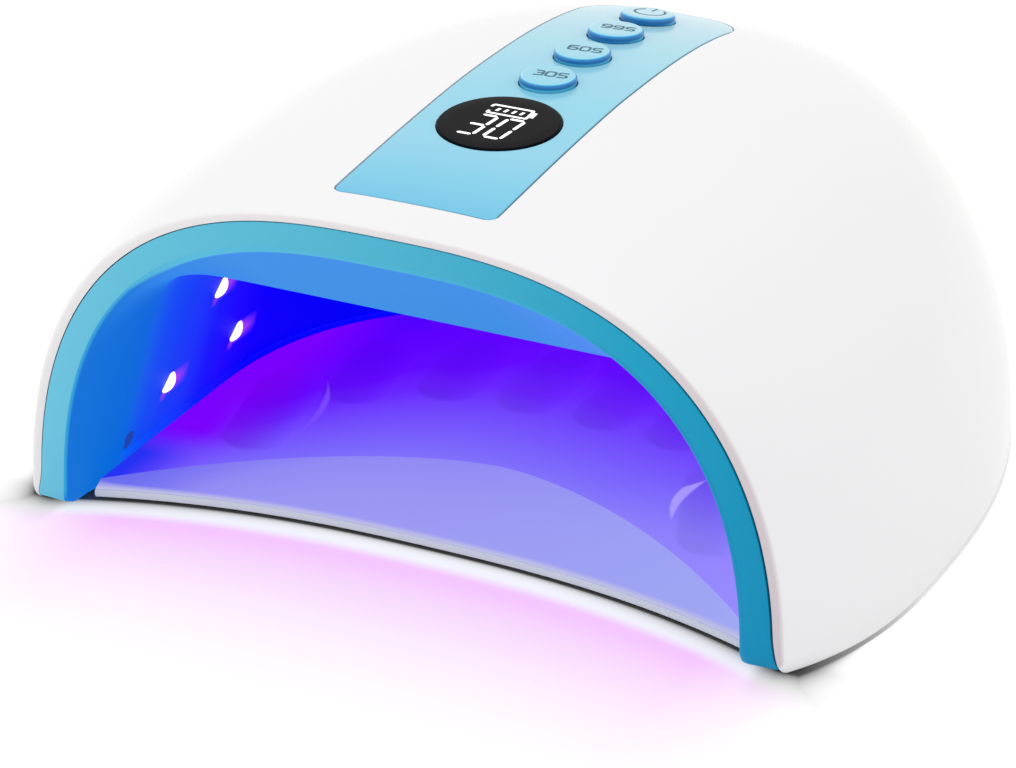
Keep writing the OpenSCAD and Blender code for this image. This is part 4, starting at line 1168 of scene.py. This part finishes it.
def trayTop(x, d):
    # Height of the tray's upper face, with the finger hollows sunk in
    ramping = np.clip((d - trayEdge(x)) / (rampEdge(x) - trayEdge(x)), 0, 1)
    z = tray["edgeZ"] + (tray["floorZ"] - tray["edgeZ"]) * ramping
    centre = tray["floorZ"] + hollowRadius - rest["depth"]
    for hx, hd, turn, length in hollows:
        a = math.radians(turn)
        aside = (x - hx) * math.cos(a) + (d - hd) * math.sin(a)
        along = -(x - hx) * math.sin(a) + (d - hd) * math.cos(a)
        past = np.where(along < 0, along, np.clip(along - length + rest["endRound"], 0, None) * 0.8)
        reach = hollowRadius ** 2 - aside ** 2 - past ** 2
        z = np.minimum(z, np.where(reach > 0, centre - np.sqrt(np.clip(reach, 0, None)), z))
    return z


def trayEdgeWire(across):
    return (1 - (across.size() / bezelHalf) ** tray["curveExp"]) * tray["curve"] + tray["front"]


# Thin crescents of light on the rims of the thumb hollows
glints = [
    {"at": (-64, 49), "turn": 14, "side": 1, "foot": 9.2, "bulge": 3, "middle": 18, "half": 17,
     "thick": 1.1, "colour": (124, 76, 250)},
    {"at": (56, 49.5), "turn": 4, "side": -1, "foot": 6.9, "bulge": 2.6, "middle": 16.5, "half": 13.5,
     "thick": 1.5, "colour": (176, 160, 252)},
]


def glint(across, d, arc):
    a = math.radians(arc["turn"])
    x, y = across - arc["at"][0], d - arc["at"][1]
    aside, along = x * math.cos(a) + y * math.sin(a), y * math.cos(a) - x * math.sin(a)
    full = (1 - ((along - arc["middle"]) / arc["half"]) ** 2).atLeast(0)
    off = (aside * arc["side"] - full * arc["bulge"] - arc["foot"]).size()
    return (full * arc["thick"] - off).atLeast(0).atMost(0.5) * 1.6


def trayPlastic(name, stops, lip=False):
    # Colour by depth, turned aside where the light of the side beads falls off
    material, tree, shader = newMaterial(name)
    across, d, up = objectPlace(tree)
    leftShift = (((across * -1) / 80).atLeast(0) ** 2.2) * 66
    rightShift = ((across / 80).atLeast(0) ** 2.2) * 12
    colour = ramp(tree, d + leftShift + rightShift, 0, 190, stops)
    nx, ny = surfaceNormal(tree)[:2]
    if lip:
        paler = ((across + 10) / 90).clipped()
        colour = blendColours(tree, paler, colour, linear(158, 165, 238))
        bluer = ((across * -1 - 62) / 30).clipped()
        colour = blendColours(tree, bluer, colour, linear(104, 116, 238))
    else:
        # The painted glow beside the left wall is blue at the front, then violet; it is paler on the right
        beside = ((across * -1 - 62) / 16).clipped() * ((d - 34) / 10).clipped()
        colour = blendColours(tree, beside, colour, linear(122, 0, 248))
        wedge = ((across * -1 - 70) / 14).clipped() * ((38 - d) / 10).clipped()
        colour = blendColours(tree, wedge, colour, linear(36, 48, 240))
        onRight = ((across - 30) / 50).clipped() * ((74 - d) / 40).clipped()
        colour = blendColours(tree, onRight, colour, linear(152, 138, 252))
    deep = (tray["floorZ"] - up).atLeast(0) / rest["depth"] * (0 if lip else 0.07)
    shade = (ny.atLeast(0) * -0.4 + nx * -0.14 + 1 - deep).atLeast(0.6).atMost(1.25)
    dimmed = tree.nodes.new("ShaderNodeVectorMath")
    dimmed.operation = "SCALE"
    tree.links.new(colour, dimmed.inputs[0])
    tree.links.new(shade.socket, dimmed.inputs["Scale"])
    colour = dimmed.outputs[0]
    if lip:
        # The front edge glows pale: painted room light on the tray's white plastic
        fromEdge = d - trayEdgeWire(across)
        pale = ((tray["lip"] - fromEdge) / 2.2).clipped()
        colour = blendColours(tree, pale, colour, linear(190, 190, 224))
    else:
        for arc in glints:
            colour = blendColours(tree, glint(across, d, arc), colour, linear(*arc["colour"]))
    return glowing(material, tree, shader, colour, linear(10, 9, 34), 0.45)


rampStops = [(0, (160, 160, 236)), (16, (158, 156, 238)), (40, (153, 149, 240)), (58, (146, 139, 240)),
             (80, (122, 106, 242)), (100, (108, 75, 244)), (130, (90, 30, 248))]
floorStops = [(50, (138, 124, 246)), (64, (124, 106, 247)), (80, (116, 84, 248)), (92, (110, 64, 248)),
              (104, (104, 38, 250)), (120, (98, 10, 252)), (146, (92, 0, 253)), (165, (80, 0, 253)),
              (185, (50, 0, 250))]


def makeTray(materials):
    x = (tray["half"] - 0.02) * np.sin(np.linspace(-np.pi / 2, np.pi / 2, 301))
    rampRows, floorRows = np.linspace(0, 1, 60), np.linspace(0, 1, 191)[1:]
    start, line, end = trayEdge(x), rampEdge(x), trayBack(x)
    line = np.minimum(line, end - 0.5)
    d = np.concatenate([start + (line - start) * rampRows[:, None], line + (end - line) * floorRows[:, None]])
    xs = np.repeat(x[None, :], len(d), 0)
    top = np.stack([xs, d, trayTop(xs, d)], -1)

    def level(d, z):
        return np.stack([x, d, np.full(len(x), z)], 1)

    # The front edge rolls over in a small radius and meets the underside
    nose, drop = tray["nose"], tray["noseDrop"]
    roll = [level(start - nose * math.sin(a), tray["edgeZ"] - drop * (1 - math.cos(a)))
            for a in np.radians([90, 60, 30])]
    low = tray["lowZ"] + 0.5
    rows = np.stack([level(start - nose, low), *roll, *top, level(end, low)])
    count, columns = rows.shape[:2]
    faces = [list(f) for f in gridFaces(count, columns)]
    across, last = columns - 1, (count - 1) * columns
    kinds = [2] * (4 * across) + [0] * ((len(rampRows) - 1) * across) + [1] * (len(floorRows) * across)
    kinds += [2] * (len(faces) - len(kinds))
    faces += [[j, last + j, last + j + 1, j + 1] for j in range(across)]
    kinds += [2] * across
    for side in (0, columns - 1):
        faces.append([i * columns + side for i in range(count)])
        kinds.append(2)
    return sealed(makeMesh("trayFloor", rows.reshape(-1, 3), faces, materials, kinds), 0.0005)


def aroundFloor(a, grow):
    # Places round the back of the cavity's outline, let out by "grow"
    half, reach = cavity["half"] + grow, cavity["depth"] - cavity["straightTo"] + grow
    x = half * np.sign(np.cos(a)) * np.abs(np.cos(a)) ** (2 / cavity["planExp"])
    return x, cavity["straightTo"] + reach * np.abs(np.sin(a)) ** (2 / cavity["planExp"])


def floorLine(grow, start):
    half = cavity["half"] + grow
    bend = zip(*aroundFloor(np.radians(np.arange(0, 181, 2)), grow))
    return [(half, start)] + list(bend) + [(-half, start)]


# Pockets of the tray's magnets, at these angles round the back
pocket = {"diameter": 6.1, "foot": 1.7, "top": 6, "angles": [0, 50, 130, 180]}


def makeTrayPlate(material):
    x = tray["half"] * np.sin(np.linspace(-np.pi / 2, np.pi / 2, 121))
    outline = list(zip(x, trayEdge(x))) + [(tray["half"], bezel["depth"] + 1)]
    outline += floorLine(tray["flange"], bezel["depth"] + 1) + [(-tray["half"], bezel["depth"] + 1)]
    plate = solid("trayPlate", slab(outline, tray["lowZ"], tray["flangeTop"] - 0.2), material)
    # The plate is sunk under the floor, so that the hollows stay clear of it
    sunk = [(x * 0.985, y - 1.2) for x, y in floorLine(-0.6, 30)] + [(-60, 27), (60, 27)]
    cutters = [solid("sink", slab(sunk, 1.5, pocket["top"]), material)]
    radius, foot, top = pocket["diameter"] / 2, pocket["foot"], pocket["top"]
    body = lathe([(0, foot), (radius, foot), (radius, top), (0, top)], 40)
    for k, (x, y) in enumerate(zip(*aroundFloor(np.radians(pocket["angles"]), tray["flange"] / 2))):
        cutters.append(solid("pocket%d" % k, body, material, Matrix.Translation((x, y, 0))))
    return cutWith(plate, cutters)


trayWhite = plastic("trayWhite", (228, 228, 228), 0.35)
trayMaterials = [trayPlastic("trayRamp", rampStops, True), trayPlastic("trayFloor", floorStops), trayWhite]
finishPiece(makeTray(trayMaterials), "tray", ["base_tray"], degrees=12)
finishPiece(makeTrayPlate(trayWhite), "tray")
print("tray made")

# Feet and case screws
pad = {"diameter": 8, "round": 0.3}
screw = {"headD": 5.4, "headT": 1.4, "headRound": 0.45, "shankD": 2.8, "length": 10, "point": 0.8,
         "crossHalf": 1.5, "crossArm": 0.3, "crossDeep": 0.7}


def padShape(height):
    r, bend = pad["diameter"] / 2, pad["round"]
    profile = [(0, 0), (r - 0.5, 0)] + quarter(r - bend, bend, bend, -90, 0, 5)
    return lathe(profile + [(r, height), (0, height)], 40)


def centres(name):
    # Middle of each separate solid of a CAD node, at its lowest point
    work = bmesh.new()
    work.from_mesh(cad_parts[name].data)
    bmesh.ops.remove_doubles(work, verts=work.verts, dist=1e-6)
    found, left = [], set(work.verts)
    while left:
        group, edge = set(), [left.pop()]
        while edge:
            v = edge.pop()
            group.add(v)
            for e in v.link_edges:
                w = e.other_vert(v)
                if w in left:
                    left.remove(w)
                    edge.append(w)
        points = np.array([v.co for v in group])
        middle = (points.min(0) + points.max(0)) / 2
        found.append((middle[0] / mm, middle[1] / mm - feetY, points[:, 2].min() / mm))
    work.free()
    return sorted(found)


rubber = plastic("footRubber", (62, 62, 66), 0.75, grain=0.05, grainScale=500, shade=0.2)
for name, body, stands in (("lampPads", "lamp", "lamp_feet"), ("trayPads", "tray", "tray_feet")):
    low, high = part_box(stands)
    spots = centres(stands)
    pads = scattered(name, padShape((high.z - low.z) / mm), spots, [(0, 0, 1)] * len(spots), rubber)
    finishPiece(pads, body, [stands])


def screwShape():
    # A pan head at the foot, and a shank that points up
    r, bend, thick, shank = screw["headD"] / 2, screw["headRound"], screw["headT"], screw["shankD"] / 2
    end = thick + screw["length"]
    profile = [(0, 0), (r - 0.5, 0)] + quarter(r - bend, bend, bend, -90, 0, 5)
    profile += [(r, thick), (shank, thick), (shank, end - screw["point"]), (0.3, end), (0, end)]
    return lathe(profile, 32)


screwSteel = metal("screwSteel", (190, 192, 196), 0.25)
spots = centres("case_screws")
screws = scattered("caseScrews", screwShape(), spots, [(0, 0, 1)] * len(spots), screwSteel)
crosses = []
for k, (x, d, z) in enumerate(spots):
    reaches = (screw["crossHalf"], screw["crossArm"])
    for n, (a, b) in enumerate((reaches, reaches[::-1])):
        arm = slab([(-a, -b), (a, -b), (a, b), (-a, b)], -1, screw["crossDeep"])
        crosses.append(solid("cross%d_%d" % (k, n), arm, screwSteel, Matrix.Translation((x, d, z))))
cutWith(screws, crosses)
finishPiece(screws, "lamp", ["case_screws"])
print("feet and screws made")


# Finishes of the pieces that keep their CAD shape
def frameBottomPlastic():
    # White below and outside; the upright faces inside the cavity take the walls' light
    material, tree, shader = newMaterial("frameWhite")
    across, d, up = objectPlace(tree)
    upright = ((0.5 - surfaceNormal(tree)[2].size()) * 4).clipped()
    behind = ((d - cavity["straightTo"]) / (cavity["depth"] + 0.6 - cavity["straightTo"])).atLeast(0)
    span = (across.size() / (cavity["half"] + 0.6)) ** cavity["planExp"] + behind ** cavity["planExp"]
    inside = upright.atLeast(((up - 4) * 4).atMost(1)) * ((1 - span) * 400).clipped()
    glow = blendColours(tree, inside, linear(0, 0, 0), wallLight(tree, d))
    tree.links.new(glow, shader.inputs["Emission Color"])
    shader.inputs["Emission Strength"].default_value = 1
    base = blendColours(tree, inside, linear(232, 232, 234), linear(6, 30, 120))
    tree.links.new(base, shader.inputs["Base Color"])
    shader.inputs["Roughness"].default_value = 0.4
    addGrain(tree, shader, 700, 0.02)
    return material


def sensorLens():
    # The lens's blue glow is painted: the beads' light on it
    material, tree, shader = newMaterial("sensorLens")
    drift = noise(tree, 120)
    colour = blendColours(tree, drift, linear(30, 62, 148), linear(34, 66, 156))
    return glowing(material, tree, shader, colour, linear(16, 18, 52), 0.2)


def boardMask(name, colour, shine):
    # Solder mask over traces that run across the board
    material, tree, shader = newMaterial(name)
    across, d = objectPlace(tree)[:2]
    lines = ((across * 1.1 + (d * 0.35).step("SINE") * 2).step("SINE") * 4).clipped()
    lighter = [min(1, c * 1.5 + 0.02) for c in linear(*colour)[:3]] + [1]
    tree.links.new(blendColours(tree, lines, linear(*colour), lighter), shader.inputs["Base Color"])
    shader.inputs["Roughness"].default_value = shine
    return material


def cellSleeve():
    material, tree, shader = newMaterial("cellSleeve")
    across = objectPlace(tree)[0]
    band = ((across.size() - 59) * 2).clipped()
    sleeve = blendColours(tree, band, linear(52, 96, 170), linear(226, 226, 228))
    tree.links.new(sleeve, shader.inputs["Base Color"])
    tree.links.new((noise(tree, 80) * 0.1 + 0.25).socket, shader.inputs["Roughness"])
    return material


innerWhite = plastic("innerWhite", (222, 222, 224), 0.5, grainScale=600)
blackPlastic = plastic("blackPlastic", (30, 30, 33), 0.4, grain=0.03, shade=0.2)
nickel = metal("nickel", (206, 204, 198), 0.18)
finishes = {
    "bottom_frame": frameBottomPlastic(), "hand_sensors": sensorLens(),
    "control_board": boardMask("maskGreen", (24, 92, 52), 0.35),
    "charge_board": boardMask("maskGreenRear", (22, 88, 50), 0.35), "battery_cells": cellSleeve(),
    "charge_socket": blackPlastic, "battery_holder": blackPlastic, "display_module": blackPlastic,
    "tact_switches": nickel, "board_screws": screwSteel, "housing_magnets": nickel, "tray_magnets": nickel,
    "screw_ring": innerWhite, "board_carrier": innerWhite,
}
whiteMask = boardMask("maskWhite", (226, 228, 230), 0.4)
for node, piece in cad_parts.items():
    if piece.hide_render:
        continue
    if node.startswith("lamp_board"):
        finish = whiteMask
    elif node.startswith("plunger"):
        finish = blackPlastic
    else:
        finish = finishes.get(node, innerWhite)
    piece.data.materials.clear()
    piece.data.materials.append(finish)
print("finishes given")


# Stage: a pale floor, soft light and the photograph's view
def rayShown(tree):
    # 1 for rays that show the floor or the world in the picture, 0 for rays that only light things
    path = tree.nodes.new("ShaderNodeLightPath")
    camera, glossy, through = (Wire(tree, path.outputs["Is %s Ray" % kind])
                               for kind in ("Camera", "Glossy", "Transmission"))
    return camera.atLeast(glossy).atLeast(through)


paperShade = {"front": 24, "thinFrom": 8, "thinOver": 22, "thin": 3, "reach": 0.6, "frontReach": 1.9,
              "footReach": 2.2, "footFrom": 91, "footOver": 3, "faintFrom": 6, "faintOver": 60,
              "faintest": 0.78, "insideFrom": 3, "insideOver": 4, "insideAt": 8, "insideAtOver": 6,
              "rearFrom": 60, "rearOver": 40, "spillHalf": 108, "spillFade": 30, "lit": 0.1,
              "litClear": 0.2, "glow": 0.78}


def makeFloor():
    mesh = bpy.data.meshes.new("floor")
    edge = 2.5
    corners = [(-edge, -edge, 0), (edge, -edge, 0), (edge, edge, 0), (-edge, edge, 0)]
    mesh.from_pydata(corners, [], [(0, 1, 2, 3)])
    floor = bpy.data.objects.new("floor", mesh)
    bpy.context.scene.collection.objects.link(floor)
    material, tree, shader = newMaterial("floorPaper")
    across, d = objectPlace(tree)[:2]
    shade = paperShade
    # How far a point lies outside the object's outline in plan
    past = ((d - shell["widestAt"]) / (shell["depth"] - shell["widestAt"])).clipped()
    before = ((shell["widestAt"] - d) / shell["widestAt"]).clipped()
    half = (1 - past ** shell["planExp"]) ** (1 / shell["planExp"]) * halfWidth
    half = half - before ** shell["flareExp"] * shell["frontTaper"]
    ahead = trayEdgeWire(across.atMost(bezelHalf).atLeast(-bezelHalf)) - d
    thinner = ((d - shade["thinFrom"]) / shade["thinOver"]).clipped() * shade["thin"] + 1
    outside = ((across.size() - half) * thinner).atLeast(ahead).atLeast(d - shell["depth"])
    outside = outside.atLeast(0)
    # Violet light spills out of the opening on to the paper
    spill = ramp(tree, ahead, 0, 100, [
        (5.5, (255, 255, 252)), (9.5, (255, 206, 252)), (12, (255, 205, 252)), (20, (255, 217, 253)),
        (30, (255, 228, 253)), (40, (255, 236, 253)), (50, (255, 242, 254)), (62, (255, 248, 255)),
        (90, (255, 254, 255))])
    beside = ((shade["spillHalf"] - across.size()) / shade["spillFade"]).clipped()
    paper = blendColours(tree, beside, linear(255, 255, 255), spill)
    shader.inputs["Base Color"].default_value = (0.9, 0.9, 0.9, 1)
    shader.inputs["Roughness"].default_value = 0.9
    shader.inputs["Specular IOR Level"].default_value = 0
    shown = tree.nodes.new("ShaderNodeBsdfDiffuse")
    dull = tree.nodes.new("ShaderNodeVectorMath")
    dull.operation = "SCALE"
    tree.links.new(paper, dull.inputs[0])
    tree.links.new(dull.outputs[0], shown.inputs[0])
    lift = tree.nodes.new("ShaderNodeEmission")
    tree.links.new(paper, lift.inputs[0])
    # Its contact shadow is deep at the front, wide round the feet, and faint along the sides and inside
    atFeet = ((across.size() - shade["footFrom"]) / shade["footOver"]).clipped()
    reach = atFeet * shade["footReach"] + shade["frontReach"]
    reach = ((shade["front"] - d) / shade["front"]).clipped() * reach
    within = ((half - across.size() - shade["insideFrom"]) / shade["insideOver"]).atLeast(0)
    within = within * ((d - shade["insideAt"]) / shade["insideAtOver"]).atLeast(0)
    faint = ((d - shade["faintFrom"]) / shade["faintOver"]).atLeast(within).atLeast(0)
    behindFeet = atFeet.atLeast((d - shade["rearFrom"]) / shade["rearOver"]).atMost(1)
    faint = faint.atMost(shade["faintest"]) * behindFeet
    clear = (1 - (outside * -1 / (reach + shade["reach"])).step("EXPONENT")) * (1 - faint) + faint
    link(tree, clear * shade["litClear"] + shade["lit"], dull.inputs["Scale"])
    link(tree, clear * shade["glow"], lift.inputs[1])
    both = tree.nodes.new("ShaderNodeAddShader")
    tree.links.new(shown.outputs[0], both.inputs[0])
    tree.links.new(lift.outputs[0], both.inputs[1])
    choice = tree.nodes.new("ShaderNodeMixShader")
    link(tree, rayShown(tree), choice.inputs[0])
    tree.links.new(shader.outputs[0], choice.inputs[1])
    tree.links.new(both.outputs[0], choice.inputs[2])
    tree.links.new(choice.outputs[0], tree.nodes["Material Output"].inputs[0])
    mesh.materials.append(material)


def makeWorld():
    world = bpy.data.worlds.new("studio")
    bpy.context.scene.world = world
    world.use_nodes = True
    tree = world.node_tree
    background = tree.nodes["Background"]
    background.inputs[0].default_value = (1, 1, 1, 1)
    link(tree, rayShown(tree) * 0.08 + 0.92, background.inputs[1])


def placed(name, data, place, target):
    # A lamp or camera that looks from its place at a target
    holder = bpy.data.objects.new(name, data)
    holder.location = place
    holder.rotation_euler = (Vector(place) - Vector(target)).to_track_quat("Z", "Y").to_euler()
    bpy.context.scene.collection.objects.link(holder)
    return holder


def addLamp(name, place, target, size, watts):
    light = bpy.data.lights.new(name, "AREA")
    light.shape, light.size, light.energy = "SQUARE", size, watts
    placed(name, light, place, target)


def makeCamera():
    view = {"place": (0.38415, -0.83231, 0.44804), "target": (0.011378, -0.07398, 0.0405), "lens": 139.57,
            "shiftX": 0.00506, "shiftY": -0.0005}
    camera = bpy.data.cameras.new("camera")
    camera.lens, camera.sensor_width = view["lens"], 36
    camera.shift_x, camera.shift_y = view["shiftX"], view["shiftY"]
    camera.clip_start, camera.clip_end = 0.01, 20
    bpy.context.scene.camera = placed("camera", camera, view["place"], view["target"])


makeFloor()
makeWorld()
addLamp("keyLight", (-0.7, -0.9, 1.2), (0, 0, 0.05), 1.2, 1.6)
addLamp("topLight", (0.1, 0.3, 1.5), (0, 0, 0.05), 1.4, 2)
makeCamera()
bpy.context.scene.view_settings.view_transform = "Standard"
print("stage set")
